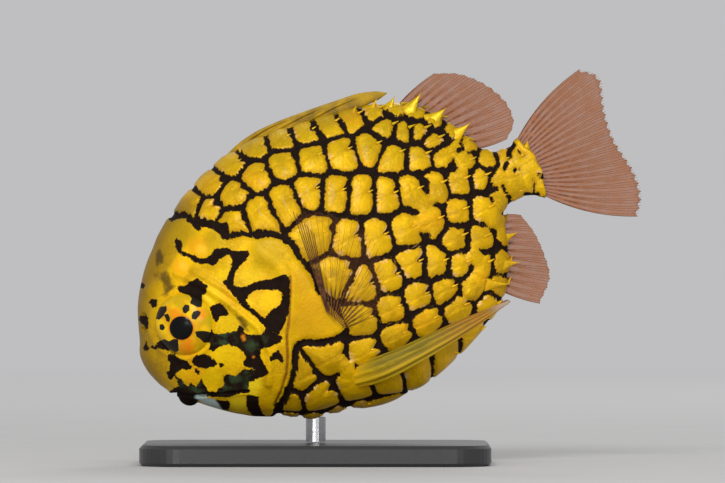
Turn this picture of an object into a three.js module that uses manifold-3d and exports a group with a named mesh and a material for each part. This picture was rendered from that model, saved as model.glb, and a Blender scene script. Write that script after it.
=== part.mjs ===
// Pineapplefish at life size, swimming head down, held by a plain display stand.
// Millimetres, +Z up. The snout points to -X and the fish's left side faces -Y.
// The fish is modelled level, with x running from snout to tail, and then pitched as one group.

import * as THREE from "three";
import { ConvexHull } from "three/addons/math/ConvexHull.js";
import { mergeVertices } from "three/addons/utils/BufferGeometryUtils.js";
import Module from "manifold-3d";

// Driving dimensions

const STANDARD_LENGTH = 106;      // snout to the end of the tail stalk
const MAX_HALF_WIDTH = 18;        // half the width behind the shoulder
const AXIS_Z = 8.5;               // height of the flank's middle line above the upper lip
const FULLNESS = 0.86;            // below 1 the flanks are fuller than an ellipse
const PITCH = THREE.MathUtils.degToRad(27);
const GAP = 0.3;                  // clearance between parts that meet

const EYE = { x: 13.0, z: 12.5, radius: 7.6, depth: 4.4, sunk: 1.7 };
const NOSTRILS = [[5.4, 18.4, 0.9], [4.0, 15.6, 0.7]];   // x, z, radius
const CHIN_KNOB = { x: 5.6, z: -3.7, radii: [2.3, 3, 2.3] };
const PECTORAL_LOBE = { x: 44.6, z: -2.6, radii: [3, 2.2, 4.2] };
const TAIL_CUT_X = 94;            // where the tail stalk begins
const STALK_RELIEF = 0.5;         // the stalk's plates stand this much lower than the trunk's

const WEB_THICKNESS = 0.5;
const WEB_REACH = 0.97;           // the web's share of the length of the rays beside it
const RAY_THICKNESS = 1.1;        // of a fin ray where it leaves the body

const PLATE = { inset: 0.24, lift: 0.55, crown: 0.45 };    // share inside its border, and heights
const PLATE_SPINE = { reach: 2.6, lift: 1, from: 70, to: 92 };   // grows from one x to the other

const BASE = { length: 84, width: 58, height: 5, corner: 9, bevel: 0.8 };
const ROD_RADIUS = 2.4;
const ROD_FISH_X = 31;            // the rod meets the belly under the middle of the weight
const FISH_CLEARANCE = 6;         // from the base's top to the lowest point of the fish
const LOWEST_FISH_Z = -5.7;       // of the pitched fish, below its own origin
const FISH_OFFSET_X = -54.94;     // puts the middle of the whole length over the origin
const CLEAR = { front: -20, rear: 150, below: -60, above: 80 };   // cutting slabs reach past the fish

// Outline of the body: heights of back and belly from the middle line, and half widths, by x

const BACK_HEIGHT = [
  [0, 0], [0.15, 1.6], [0.6, 3], [1.5, 4.6], [3, 8.2], [5, 12.6], [8, 16.9], [12, 21.3], [17.3, 25.4],
  [24, 29.6], [32, 33.2], [40, 35.2], [48, 35.6], [60, 34], [72, 31.6], [80, 29.2], [86, 25.2],
  [90.5, 20], [93, 14.6], [95.5, 9.4], [99, 6.8], [102.5, 6.5], [106, 7.6],
];
const BELLY_HEIGHT = [
  [0, 0], [0.15, 2], [0.6, 4], [1.5, 6.6], [3, 9], [6, 12.4], [10, 16.6], [15, 20.9], [20, 23.8],
  [25, 26.4], [30, 29.6], [38, 31.4], [48, 34.2], [57, 34.8], [66, 33], [75, 29.9], [82, 26.6],
  [86.5, 22], [90, 16], [92, 9.6], [94.5, 6], [98, 5.3], [102, 6.5], [106, 8.2],
];
const RELATIVE_WIDTH = [
  [0, 0], [0.15, 0.11], [0.6, 0.21], [1.5, 0.32], [3, 0.43], [6, 0.57], [12, 0.74], [20, 0.885],
  [30, 0.98], [40, 1], [50, 0.95], [60, 0.83], [70, 0.67], [80, 0.49], [88, 0.35], [94, 0.25],
  [100, 0.175], [106, 0.115],
];

// Where the head ends on the flank, from the nape down past the gill cover to the throat

const HEAD_EDGE = [
  [23, 42], [24.5, 38], [29, 31], [33, 25], [37, 20], [40.3, 14], [40.3, 10], [38.5, 6], [34, 0],
  [31, -6], [27, -11], [22, -15], [20, -21],
];
const GAPE = [[-4, 0.6], [2, -0.3], [4.4, -1.4], [7.8, -3.7], [13.5, -6], [20, -8.5]];
const JAW_REAR = [[21.6, -10], [22, -14.8], [20.5, -21]];

// Rows of armour plates on the left flank: the row's curve in x and z, how many plates it holds,
// and how much shorter the last step between plates is than the first

const PLATE_ROWS = [
  { along: [[27.5, 36.5], [34, 39], [40.5, 41], [48, 42], [59, 40], [71, 38.3], [80, 36.2], [85.2, 33],
    [89.2, 28.2], [91.8, 24.2], [92.9, 20.8]], count: 14, last: 0.62 },
  { along: [[30.3, 34.5], [36.5, 35], [44, 36.5], [52, 36], [59.5, 33.5], [72, 30]], count: 7, last: 1 },
  { along: [[77.5, 32.4], [81, 29.7], [84.2, 28.1], [86.1, 24.6]], count: 4, last: 1 },
  { along: [[76, 25.7], [81.4, 22.6], [86.9, 20.2], [90.5, 16.4]], count: 4, last: 0.85 },
  { along: [[34.5, 28.5], [40.5, 28], [54, 27], [60, 23.5], [70.5, 17.5], [81.9, 14.6], [92.6, 11.5]],
    count: 11, last: 0.85 },
  { along: [[51, 17], [59, 11.5], [65.5, 9.5], [76.3, 7.5], [83.6, 6.6], [89.4, 4.3]],
    count: 7, last: 0.85 },
  { along: [[51, 6.5], [55.5, 0.8], [62.6, 0.2], [68.3, 0.4], [78.3, -4.9], [87.5, -9.4]],
    count: 8, last: 0.7 },
  { along: [[80.3, 1.2], [85.1, -1.4], [91.3, -2.8]], count: 3, last: 1.1 },
  { along: [[51.5, -6], [58.3, -6.8], [66.9, -7.3], [78, -10.3], [84.8, -13.6]], count: 6, last: 0.9 },
  { along: [[32, -12], [38.5, -10.3], [45.5, -13], [56.3, -13.1], [72.5, -13.7], [80.4, -16.9]],
    count: 7, last: 0.9 },
  { along: [[26.6, -14], [33.5, -17], [48, -18.5], [66, -20], [74, -20.6]], count: 7, last: 0.9 },
  { along: [[96, 13.9], [99.5, 12.6], [103, 11.6]], count: 3, last: 1 },
  { along: [[95.8, 9.3], [99.6, 8.2], [103.2, 7.4]], count: 3, last: 1 },
  { along: [[94.6, 5.4], [98.8, 4.6], [102.8, 3.6]], count: 3, last: 1 },
];
const BACK_RIDGE = { from: 25.5, to: 104, count: 15, ease: 0.85 };   // plates astride the middle line
const BELLY_RIDGE = { from: 25, to: 103, count: 14, ease: 0.85 };
const SMOOTH_BAND = {
  along: [[34, 20.5], [40, 17], [41.3, 12], [42, 5], [42, -1.5], [37, -2.5]], count: 6, last: 1,
};
const ARMOUR_FROM_X = 10;         // inside the head
const UNDER_HEAD = { x: [15, 25], around: 8 };               // plates that the head covers

// Ridges that stand on the head, as paths in x and z with a height and a breadth

const HEAD_RIDGES = [
  { path: [[3, -0.8], [7.8, -3.4], [13.5, -5.7], [20, -8.2]], height: 0.7, breadth: 1.3 },
  { path: [[17, 24], [20.5, 20], [24.5, 13], [28.5, 4], [28.5, -3], [25, -9]], height: 1, breadth: 1.3 },
  { path: [[21, 22.5], [25.5, 15.5], [30, 6.5]], height: 0.8, breadth: 1.1 },
  { path: [[5, 22], [9, 24.2], [15, 24.4], [20.5, 28]], height: 0.6, breadth: 1.2 },
  { path: [[24.5, 38], [29, 31], [33, 25], [37, 20], [40.3, 14], [40.3, 10], [38.5, 6], [34, 0], [31, -6],
    [27, -11], [22, -15]], height: 0.7, breadth: 2.6 },
];
const ORBIT_RIM = { radius: 8.4, height: 0.7, breadth: 1.2 };
const HEAD_LIFT = 0.4;                                       // the head's skin over the body's outline
const HEAD_MESH = { fromX: 0.15, toX: 47, rings: 31, sides: 56, ease: 1.35 };

// Fin outlines: where each fin grows, and its free margin, as x, y, z

const SOFT_DORSAL = {
  root: [[83.5, 0, 36.5], [87.7, 0, 33], [91.5, 0, 28], [93.8, 0, 22], [93.4, 0, 18.6]],
  margin: [[94, 0, 39], [99, 0, 36.4], [102.8, 0, 32.5], [105.2, 0, 28.4], [106.4, 0, 24], [105.6, 0, 19.6],
    [102.4, 0, 17]],
  rays: 12,
  bow: 0.4,
};
const ANAL = {
  root: [[91.8, 0, 1.2], [90.6, 0, -2.6], [89, 0, -6.6], [86.8, 0, -10.6], [84, 0, -14.4]],
  margin: [[97, 0, -1], [98, 0, -6], [97.8, 0, -12], [96.4, 0, -17.6], [91.4, 0, -22]],
  rays: 10,
  bow: 0.4,
};
const CAUDAL = {
  root: [[104, 0, 15.4], [104, 0, 11], [104, 0, 5.6], [104, 0, 1]],
  margin: [[125.6, 0, 24], [129, 0, 20], [126.6, 0, 12.4], [125.4, 0, 5], [126.2, 0, -4], [125, 0, -10.1],
    [122, 0, -14]],
  rays: 17,
  bow: 1.5,
};
const PECTORAL = {
  root: [[45.2, -19.2, 0.6], [46.4, -19.6, -1.6], [46.2, -19.4, -4], [44.8, -18.6, -5.8]],
  margin: [[48.6, -22, 25], [57, -23.5, 20], [62.5, -23.5, 11], [61, -24, 1], [55, -23.5, -6.5]],
  rays: 14,
  bow: 0,
};
const PELVIC = {
  path: [[41.5, -13.6, -17.6], [52, -15.8, -18.6], [66, -14.4, -18.6], [85, -10.6, -18]],
  radii: [3.6, 2.9, 2.1, 0.35],
  ridges: 7,
};
const SPINY_DORSAL = {
  from: 40,
  to: 80.5,
  band: { radii: [0.6, 2.4, 2.4, 1.9, 0.4], lift: 0.3, flatten: 0.55 },
  spines: {
    count: 6, first: 1.5, length: 16, radii: [1.35, 1.1, 0.7, 0.25],
    lifts: [0.4, 1.6, 2.2, 2.4], leans: [0, 0.7, 1.3, 1.6],
  },
};

// Curves and solids

// A smooth curve through points that never overshoots between them.
function curveThrough(points) {
  const last = points.length - 1;
  const slopes = points.slice(1).map(([x, y], i) => (y - points[i][1]) / (x - points[i][0]));
  const tangents = points.map((point, i) => {
    if (i === 0) return slopes[0];
    if (i === last) return slopes[last - 1];
    const [before, after] = [slopes[i - 1], slopes[i]];
    return before * after > 0 ? 2 * before * after / (before + after) : 0;
  });
  return (x) => {
    const at = Math.min(Math.max(x, points[0][0]), points[last][0]);
    let i = 0;
    while (i < last - 1 && at > points[i + 1][0]) i += 1;
    const [x0, y0] = points[i];
    const [x1, y1] = points[i + 1];
    const h = x1 - x0;
    const t = (at - x0) / h;
    return y0 * (1 + 2 * t) * (1 - t) ** 2 + y1 * t * t * (3 - 2 * t)
      + h * t * (1 - t) * (tangents[i] * (1 - t) - tangents[i + 1] * t);
  };
}

const backHeight = curveThrough(BACK_HEIGHT);
const bellyHeight = curveThrough(BELLY_HEIGHT);
const relativeWidth = curveThrough(RELATIVE_WIDTH);

// The body's surface: x along the fish, turn around it from the left flank over the back.
function bodyPoint(x, turn, lift = 0) {
  const across = Math.cos(turn);
  const up = Math.sin(turn);
  const height = up > 0 ? backHeight(x) : bellyHeight(x);
  const width = MAX_HALF_WIDTH * relativeWidth(x);
  const point = new THREE.Vector3(x, -Math.sign(across) * width * Math.abs(across) ** FULLNESS,
    AXIS_Z + height * up);
  return lift ? point.addScaledVector(bodyNormal(x, turn), lift) : point;
}

function bodyNormal(x, turn) {
  const step = 0.02;
  const alongBody = bodyPoint(x + step, turn).sub(bodyPoint(x - step, turn));
  const aroundBody = bodyPoint(x, turn + step).sub(bodyPoint(x, turn - step));
  return alongBody.cross(aroundBody).normalize();
}

// The turn at which the left flank reaches a height z.
function turnAt(x, z) {
  const height = z > AXIS_Z ? backHeight(x) : bellyHeight(x);
  return Math.asin(THREE.MathUtils.clamp((z - AXIS_Z) / height, -1, 1));
}

function signedVolume(points, faces) {
  const spread = new THREE.Vector3();
  return faces.reduce((sum, [a, b, c]) =>
    sum + points[a].dot(spread.crossVectors(points[b], points[c])) / 6, 0);
}

// A closed mesh from points and triangles, its faces turned outward.
function solid(points, faces) {
  const outward = signedVolume(points, faces) > 0;
  const geometry = new THREE.BufferGeometry();
  geometry.setAttribute("position",
    new THREE.Float32BufferAttribute(points.flatMap((point) => point.toArray()), 3));
  geometry.setIndex(faces.flatMap(([a, b, c]) => (outward ? [a, b, c] : [a, c, b])));
  geometry.computeVertexNormals();
  return geometry;
}

// Rings of equally many points joined in order, each end closed by a fan to its middle.
function loft(rings) {
  const sides = rings[0].length;
  const points = rings.flat();
  const faces = [];
  for (let ring = 0; ring < rings.length - 1; ring += 1) {
    for (let side = 0; side < sides; side += 1) {
      const a = ring * sides + side;
      const b = ring * sides + (side + 1) % sides;
      faces.push([a, b, b + sides], [a, b + sides, a + sides]);
    }
  }
  for (const [ring, flip] of [[0, false], [rings.length - 1, true]]) {
    const middle = rings[ring].reduce((sum, point) => sum.add(point), new THREE.Vector3());
    points.push(middle.divideScalar(sides));
    for (let side = 0; side < sides; side += 1) {
      const a = ring * sides + side;
      const b = ring * sides + (side + 1) % sides;
      faces.push(flip ? [points.length - 1, a, b] : [points.length - 1, b, a]);
    }
  }
  return solid(points, faces);
}

const wasm = await Module();
wasm.setup();

function toManifold(geometry) {
  const bare = geometry.clone();
  bare.deleteAttribute("normal");
  bare.deleteAttribute("uv");
  const merged = mergeVertices(bare, 1e-4);
  return new wasm.Manifold(new wasm.Mesh({
    numProp: 3,
    vertProperties: Float32Array.from(merged.attributes.position.array),
    triVerts: Uint32Array.from(merged.index.array),
  }));
}

// The largest closed surface of a joined or cut solid.
function toGeometry(manifold) {
  const largest = manifold.decompose().reduce((a, b) => (a.volume() > b.volume() ? a : b));
  const mesh = largest.getMesh();
  const geometry = new THREE.BufferGeometry();
  geometry.setAttribute("position", new THREE.BufferAttribute(Float32Array.from(mesh.vertProperties), 3));
  geometry.setIndex(new THREE.BufferAttribute(Uint32Array.from(mesh.triVerts), 1));
  geometry.computeVertexNormals();
  return geometry;
}

const join = (first, ...others) => toGeometry(others.reduce(
  (sum, geometry) => sum.add(toManifold(geometry)), toManifold(first)));
const cut = (first, ...others) => toGeometry(others.reduce(
  (rest, geometry) => rest.subtract(toManifold(geometry)), toManifold(first)));
const common = (first, second) => toGeometry(toManifold(first).intersect(toManifold(second)));

// A slab right across the fish with an outline in x and z.
function slab(outline) {
  const depth = 4 * MAX_HALF_WIDTH;
  const shape = new THREE.Shape(outline.map(([x, z]) => new THREE.Vector2(x, z)));
  const geometry = new THREE.ExtrudeGeometry(shape, { depth, bevelEnabled: false });
  return geometry.rotateX(Math.PI / 2).translate(0, depth / 2, 0);
}

function ellipsoid(radii, columns = 20, rows = 10) {
  return new THREE.SphereGeometry(1, columns, rows).scale(...radii);
}

const shifted = (outline, dx, dz = 0) => outline.map(([x, z]) => [x + dx, z + dz]);

function mirrored(geometry) {
  const copy = geometry.clone().scale(1, -1, 1);
  const index = Array.from(copy.index.array);
  for (let i = 0; i < index.length; i += 3) [index[i], index[i + 1]] = [index[i + 1], index[i]];
  copy.setIndex(index);
  copy.computeVertexNormals();
  return copy;
}

// Body

function bodyLoft(stations, sides, lift) {
  return loft(stations.map((x) => Array.from({ length: sides }, (unused, side) => {
    const turn = 2 * Math.PI * side / sides;
    return bodyPoint(x, turn, lift(x, bodyPoint(x, turn).z));
  })));
}

function stationsBetween(from, to, count, ease = 1) {
  return Array.from({ length: count }, (unused, i) => from + (to - from) * (i / (count - 1)) ** ease);
}

// The head's side of the edge between head and trunk, moved back by a shift.
function headSlab(shift) {
  const { front, below, above } = CLEAR;
  return slab([...shifted(HEAD_EDGE, shift), [front, below], [front, above]]);
}

// The lower jaw's side of the gape, grown by a shift.
function jawSlab(grow) {
  const { front, below } = CLEAR;
  const gape = shifted(GAPE, grow, grow);
  return slab([...gape, ...shifted(JAW_REAR, grow), [front, below], [front, gape[0][1]]]);
}

// How far a point of the flank is from a path.
function distanceToPath([x, z], path) {
  const point = new THREE.Vector3(x, 0, z);
  const nearest = new THREE.Vector3();
  return Math.min(...path.slice(1).map(([x1, z1], i) => {
    const line = new THREE.Line3(new THREE.Vector3(path[i][0], 0, path[i][1]), new THREE.Vector3(x1, 0, z1));
    return line.closestPointToPoint(point, true, nearest).distanceTo(point);
  }));
}

// Lips, cheek and gill-cover ridges and the raised rim of the orbit.
function headRelief(x, z) {
  const bump = (distance, height, breadth) => height * Math.exp(-((distance / breadth) ** 2));
  const ridges = HEAD_RIDGES.map(({ path, height, breadth }) =>
    bump(distanceToPath([x, z], path), height, breadth));
  const fromRim = Math.abs(Math.hypot(x - EYE.x, z - EYE.z) - ORBIT_RIM.radius);
  return HEAD_LIFT + Math.max(...ridges, bump(fromRim, ORBIT_RIM.height, ORBIT_RIM.breadth));
}

function makeHeadBlock() {
  const { fromX, toX, rings, sides, ease } = HEAD_MESH;
  return bodyLoft(stationsBetween(fromX, toX, rings, ease), sides, headRelief);
}

// An eyeball whose short axis is square to the head where it sits, grown by the gap for its socket.
function makeEye(side, grow = 0) {
  const turn = turnAt(EYE.x, EYE.z);
  const outward = bodyNormal(EYE.x, turn);
  const centre = bodyPoint(EYE.x, turn, -EYE.sunk);
  const turned = new THREE.Quaternion().setFromUnitVectors(new THREE.Vector3(0, 1, 0), outward);
  const eye = ellipsoid([EYE.radius + grow, EYE.depth + grow, EYE.radius + grow]);
  eye.applyQuaternion(turned).translate(...centre.toArray());
  return side < 0 ? eye : mirrored(eye);
}

function makeHead(headBlock) {
  const whole = cut(common(headBlock, headSlab(0)), jawSlab(2 * GAP));
  const sockets = [-1, 1].map((side) => makeEye(side, GAP));
  const pits = NOSTRILS.flatMap(([x, z, radius]) => [-1, 1].map((side) => {
    const pit = ellipsoid([radius, radius, radius], 10, 6);
    const place = bodyPoint(x, turnAt(x, z), 0.3);
    return pit.translate(place.x, -side * place.y, place.z);
  }));
  return cut(whole, ...sockets, ...pits);
}

function makeLowerJaw(headBlock) {
  const knob = ellipsoid(CHIN_KNOB.radii, 16, 10).translate(CHIN_KNOB.x, 0, CHIN_KNOB.z);
  return join(common(headBlock, jawSlab(0)), common(knob, jawSlab(0)));
}

// The body spread over a globe without skewing small shapes: x turns into a latitude and the arc
// round the body into a longitude. The plates' neighbours are found there.
function makeGlobe(fromX, toX, steps = 300) {
  const arcs = 48;
  const arcTo = (x, turn) => {
    let length = 0;
    for (let i = 0; i < arcs; i += 1) {
      length += bodyPoint(x, turn * i / arcs).distanceTo(bodyPoint(x, turn * (i + 1) / arcs));
    }
    return length;
  };
  const quarter = Math.PI / 2;
  const girth = (x) => 2 * (arcTo(x, quarter) + arcTo(x, -quarter));
  const stations = stationsBetween(fromX, toX, steps);
  const spread = [0];
  for (let i = 1; i < steps; i += 1) {
    spread.push(spread[i - 1] + (stations[i] - stations[i - 1]) * 2 * Math.PI / girth(stations[i]));
  }
  const middle = spread[steps - 1] / 2;
  const spreadAt = curveThrough(stations.map((x, i) => [x, spread[i] - middle]));
  const xAt = curveThrough(spread.map((value, i) => [value - middle, stations[i]]));
  return {
    place(x, z, side) {
      const turn = turnAt(x, z);
      const share = arcTo(x, turn) / arcTo(x, Math.sign(turn || 1) * quarter);
      const onLeft = quarter * share * Math.sign(turn);
      const around = side < 0 ? onLeft : Math.PI - onLeft;
      const latitude = Math.atan(Math.sinh(spreadAt(x)));
      return new THREE.Vector3(Math.sin(latitude),
        -Math.cos(latitude) * Math.cos(around), Math.cos(latitude) * Math.sin(around));
    },
    bodyAt(direction, lift) {
      const latitude = Math.asin(THREE.MathUtils.clamp(direction.x, -1, 1));
      const x = xAt(Math.asinh(Math.tan(latitude)));
      const around = Math.atan2(direction.z, Math.abs(direction.y));
      const share = Math.abs(around) / quarter;
      const goal = share * arcTo(x, Math.sign(around || 1) * quarter);
      let [low, high] = [0, quarter];
      for (let i = 0; i < 24; i += 1) {
        const middleTurn = (low + high) / 2;
        if (arcTo(x, Math.sign(around || 1) * middleTurn) < goal) low = middleTurn;
        else high = middleTurn;
      }
      const turn = Math.sign(around || 1) * low;
      return bodyPoint(x, direction.y > 0 ? Math.PI - turn : turn, lift);
    },
  };
}

// Points along a curve whose steps shorten evenly to a share of the first.
function plateCentres({ along, count, last }) {
  const stops = along.map(([x, z]) => new THREE.Vector3(x, 0, z));
  const curve = new THREE.CatmullRomCurve3(stops, false, "catmullrom");
  const steps = Array.from({ length: count - 1 }, (unused, i) => 1 + (last - 1) * i / (count - 2));
  const total = steps.reduce((sum, step) => sum + step, 0);
  let gone = 0;
  return [0, ...steps].map((step) => {
    gone += step;
    const point = curve.getPointAt(Math.min(gone / total, 1));
    return [point.x, point.z];
  });
}

// Every plate of the body: its place, whether it is raised, and how much of a spine it bears.
function allPlates(globe) {
  const plates = [];
  const add = (x, z, side, raised) => {
    const direction = globe.place(x, z, side);
    const onStalk = x > TAIL_CUT_X;
    const spiny = onStalk ? 0 : THREE.MathUtils.smoothstep(x, PLATE_SPINE.from, PLATE_SPINE.to);
    plates.push({ x, direction, raised, spiny, relief: onStalk ? STALK_RELIEF : 1 });
  };
  for (const side of [-1, 1]) {
    for (const row of PLATE_ROWS) for (const [x, z] of plateCentres(row)) add(x, z, side, true);
    for (const [x, z] of plateCentres(SMOOTH_BAND)) add(x, z, side, false);
  }
  for (const [{ from, to, count, ease }, upward] of [[BACK_RIDGE, 1], [BELLY_RIDGE, -1]]) {
    for (const x of stationsBetween(from, to, count, ease)) {
      add(x, AXIS_Z + upward * (upward > 0 ? backHeight(x) : bellyHeight(x)), -1, true);
    }
  }
  for (const x of UNDER_HEAD.x) {
    for (let i = 1; i < UNDER_HEAD.around; i += 1) {
      const share = 1 - 2 * i / UNDER_HEAD.around;
      const height = share > 0 ? backHeight(x) : bellyHeight(x);
      for (const side of [-1, 1]) add(x, AXIS_Z + height * share, side, false);
    }
  }
  for (const [x, end] of [[ARMOUR_FROM_X, -1], [STANDARD_LENGTH, 1]]) {
    plates.push({ x, direction: new THREE.Vector3(end, 0, 0), raised: false, spiny: 0, relief: 1 });
  }
  return plates;
}

// The armoured body: plates that meet in grooves, each raised to a low crown or a rearward spine.
function makeTrunkBlock() {
  const globe = makeGlobe(ARMOUR_FROM_X, STANDARD_LENGTH);
  const plates = allPlates(globe);
  const order = new Map(plates.map((plate, i) => [plate.direction, i]));
  const hull = new ConvexHull().setFromPoints(plates.map((plate) => plate.direction));
  const corners = hull.faces.map((face) => {
    const edges = [face.edge, face.edge.next, face.edge.next.next];
    const around = edges.map((edge) => order.get(edge.head().point));
    const middle = around.reduce((sum, i) => sum.add(plates[i].direction), new THREE.Vector3()).normalize();
    return { around, point: globe.bodyAt(middle, 0) };
  });
  const points = corners.map((corner) => corner.point);
  const faces = [];
  plates.forEach((plate, index) => {
    const own = corners.map((corner, i) => ({ ...corner, i }))
      .filter((corner) => corner.around.includes(index));
    // Each corner's triangle names the plate itself and the neighbours before and after it.
    const after = (corner) => corner.around[(corner.around.indexOf(index) + 1) % 3];
    const before = (corner) => corner.around[(corner.around.indexOf(index) + 2) % 3];
    const ring = [own[0]];
    while (ring.length < own.length) {
      ring.push(own.find((corner) => after(corner) === before(ring[ring.length - 1])));
    }
    const atEnd = Math.abs(plate.direction.x) === 1;
    const crownLift = (PLATE.lift + PLATE.crown) * plate.relief + PLATE_SPINE.lift * plate.spiny;
    const centre = atEnd
      ? new THREE.Vector3(plate.x, 0, AXIS_Z)
      : globe.bodyAt(plate.direction, plate.raised ? crownLift : 0);
    centre.x += PLATE_SPINE.reach * plate.spiny;
    const crown = points.length;
    points.push(centre);
    if (!plate.raised) {
      ring.forEach((corner, k) => faces.push([crown, corner.i, ring[(k + 1) % ring.length].i]));
      return;
    }
    const inner = points.length;
    ring.forEach((corner) => {
      const toCorner = corners[corner.i].around.reduce((sum, i) => sum.add(plates[i].direction),
        new THREE.Vector3()).normalize();
      const inset = toCorner.lerp(plate.direction, PLATE.inset).normalize();
      points.push(globe.bodyAt(inset, PLATE.lift * plate.relief));
    });
    ring.forEach((corner, k) => {
      const next = (k + 1) % ring.length;
      faces.push([corner.i, ring[next].i, inner + next], [corner.i, inner + next, inner + k]);
      faces.push([crown, inner + k, inner + next]);
    });
  });
  return solid(points, faces);
}

function slabBetween(fromX, toX) {
  const { below, above } = CLEAR;
  return slab([[fromX, below], [toX, below], [toX, above], [fromX, above]]);
}

function makeTrunk(trunkBlock) {
  const { x, z, radii } = PECTORAL_LOBE;
  const place = bodyPoint(x, turnAt(x, z));
  const lobes = [1, -1].map((side) => ellipsoid(radii, 16, 10).translate(x, side * place.y, z));
  const body = common(join(trunkBlock, ...lobes), slabBetween(CLEAR.front, TAIL_CUT_X));
  return cut(body, headSlab(GAP + 0.1));
}

const makeTailStalk = (trunkBlock) => common(trunkBlock, slabBetween(TAIL_CUT_X + GAP, CLEAR.rear));

// Fins

// A fan of rays with a thin web between them, alike on both faces.
function rayFin({ root, margin, rays, bow }, outward, steps = 6, sink = 0) {
  const rootCurve = new THREE.CatmullRomCurve3(root.map((p) => new THREE.Vector3(...p)));
  const marginCurve = new THREE.CatmullRomCurve3(margin.map((p) => new THREE.Vector3(...p)));
  const columns = 2 * rays - 1;
  const points = [];
  for (const face of [1, -1]) {
    for (let column = 0; column < columns; column += 1) {
      const across = column / (columns - 1);
      const isRay = column % 2 === 0;
      const from = rootCurve.getPoint(across);
      const to = marginCurve.getPoint(across);
      const reach = isRay ? 1 : WEB_REACH;
      const direction = to.clone().sub(from).normalize();
      const upward = new THREE.Vector3().crossVectors(direction, outward);
      from.addScaledVector(direction, -sink);
      for (let step = 0; step <= steps; step += 1) {
        const along = reach * step / steps;
        const thickness = isRay ? RAY_THICKNESS + (WEB_THICKNESS - RAY_THICKNESS) * along : WEB_THICKNESS;
        points.push(from.clone().lerp(to, along)
          .addScaledVector(upward, bow * 4 * along * (1 - along) * (1 - 2 * across))
          .addScaledVector(outward, face * thickness / 2));
      }
    }
  }
  const perFace = columns * (steps + 1);
  const at = (face, column, step) => face * perFace + column * (steps + 1) + step;
  const faces = [];
  for (let column = 0; column < columns - 1; column += 1) {
    for (let step = 0; step < steps; step += 1) {
      for (const face of [0, 1]) {
        const [a, b] = [at(face, column, step), at(face, column + 1, step)];
        const [c, d] = [at(face, column + 1, step + 1), at(face, column, step + 1)];
        faces.push(...(face ? [[a, c, b], [a, d, c]] : [[a, b, c], [a, c, d]]));
      }
    }
    for (const step of [0, steps]) {
      const [a, b] = [at(0, column, step), at(0, column + 1, step)];
      const [c, d] = [at(1, column + 1, step), at(1, column, step)];
      faces.push(...(step ? [[a, b, c], [a, c, d]] : [[a, c, b], [a, d, c]]));
    }
  }
  for (const column of [0, columns - 1]) {
    for (let step = 0; step < steps; step += 1) {
      const [a, b] = [at(0, column, step), at(0, column, step + 1)];
      const [c, d] = [at(1, column, step + 1), at(1, column, step)];
      faces.push(...(column ? [[a, c, b], [a, d, c]] : [[a, b, c], [a, c, d]]));
    }
  }
  return solid(points, faces);
}

// A tapered spine along a curve, round or flattened.
function spine(path, radii, sides = 8, steps = 6, flatten = 1, groove = 0) {
  const curve = new THREE.CatmullRomCurve3(path.map((p) => new THREE.Vector3(...p)));
  const radius = curveThrough(radii.map((value, i) => [i / (radii.length - 1), value]));
  const rings = Array.from({ length: steps + 1 }, (unused, step) => {
    const along = step / steps;
    const centre = curve.getPoint(along);
    const ahead = curve.getTangent(along);
    const up = new THREE.Vector3(0, 0, 1).addScaledVector(ahead, -ahead.z).normalize();
    const aside = new THREE.Vector3().crossVectors(ahead, up);
    return Array.from({ length: sides }, (unusedSide, side) => {
      const angle = 2 * Math.PI * side / sides;
      const reach = radius(along) * (side % 2 ? 1 - groove : 1);
      return centre.clone()
        .addScaledVector(up, reach * Math.cos(angle))
        .addScaledVector(aside, reach * flatten * Math.sin(angle));
    });
  });
  return loft(rings);
}

// The folded spines of the first dorsal fin on their low fleshy band, leaning left and right in turn.
function makeSpinyDorsal() {
  const { from, to, band, spines } = SPINY_DORSAL;
  const { count, first, length, radii, lifts, leans } = spines;
  const onBack = (x, y, lift) => [x, y, AXIS_Z + backHeight(x) + lift];
  const bandPath = stationsBetween(from, to, band.radii.length).map((x) => onBack(x, 0, band.lift));
  const laid = Array.from({ length: count }, (unused, i) => {
    const rootX = from + first + i * (to - from - length) / (count - 1);
    const side = i % 2 ? 1 : -1;
    const path = lifts.map((lift, k) => {
      const x = rootX + length * k / (lifts.length - 1);
      return onBack(x, side * leans[k], lift);
    });
    return spine(path, radii, 6, 3);
  });
  return join(spine(bandPath, band.radii, 8, 10, band.flatten), ...laid);
}

// What grows from the body is cut back to the gap along the direction it leaves in.
function clearOf(piece, direction, ...bodies) {
  const away = direction.clone().multiplyScalar(GAP);
  return cut(piece, ...bodies.flatMap((body) => [body, body.clone().translate(...away.toArray())]));
}

// Stand

function makeStandBase(middleX) {
  const { length, width, height, corner, bevel } = BASE;
  const [halfLength, halfWidth] = [length / 2 - bevel, width / 2 - bevel];
  const shape = new THREE.Shape();
  const corners = [[1, 1], [-1, 1], [-1, -1], [1, -1]];
  corners.forEach(([sx, sy], i) => {
    shape.absarc(sx * (halfLength - corner), sy * (halfWidth - corner), corner,
      i * Math.PI / 2, (i + 1) * Math.PI / 2, false);
  });
  const geometry = new THREE.ExtrudeGeometry(shape, {
    depth: height - 2 * bevel, bevelThickness: bevel, bevelSize: bevel, bevelSegments: 1, curveSegments: 5,
  });
  return geometry.translate(middleX, 0, bevel);
}

function makeStandRod(trunkInPlace, x) {
  const intoBelly = 8;
  const top = BASE.height + FISH_CLEARANCE + intoBelly;
  const bottom = BASE.height + GAP;
  const rod = new THREE.CylinderGeometry(ROD_RADIUS, ROD_RADIUS, top - bottom, 20);
  rod.rotateX(Math.PI / 2).translate(x, 0, (top + bottom) / 2);
  return clearOf(rod, new THREE.Vector3(0, 0, -1), trunkInPlace);
}

// Assembly

function finish(color, roughness, metalness = 0) {
  return new THREE.MeshStandardMaterial({ color, roughness, metalness });
}

function named(name, geometry, material) {
  const mesh = new THREE.Mesh(geometry, material);
  mesh.name = name;
  return mesh;
}

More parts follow.
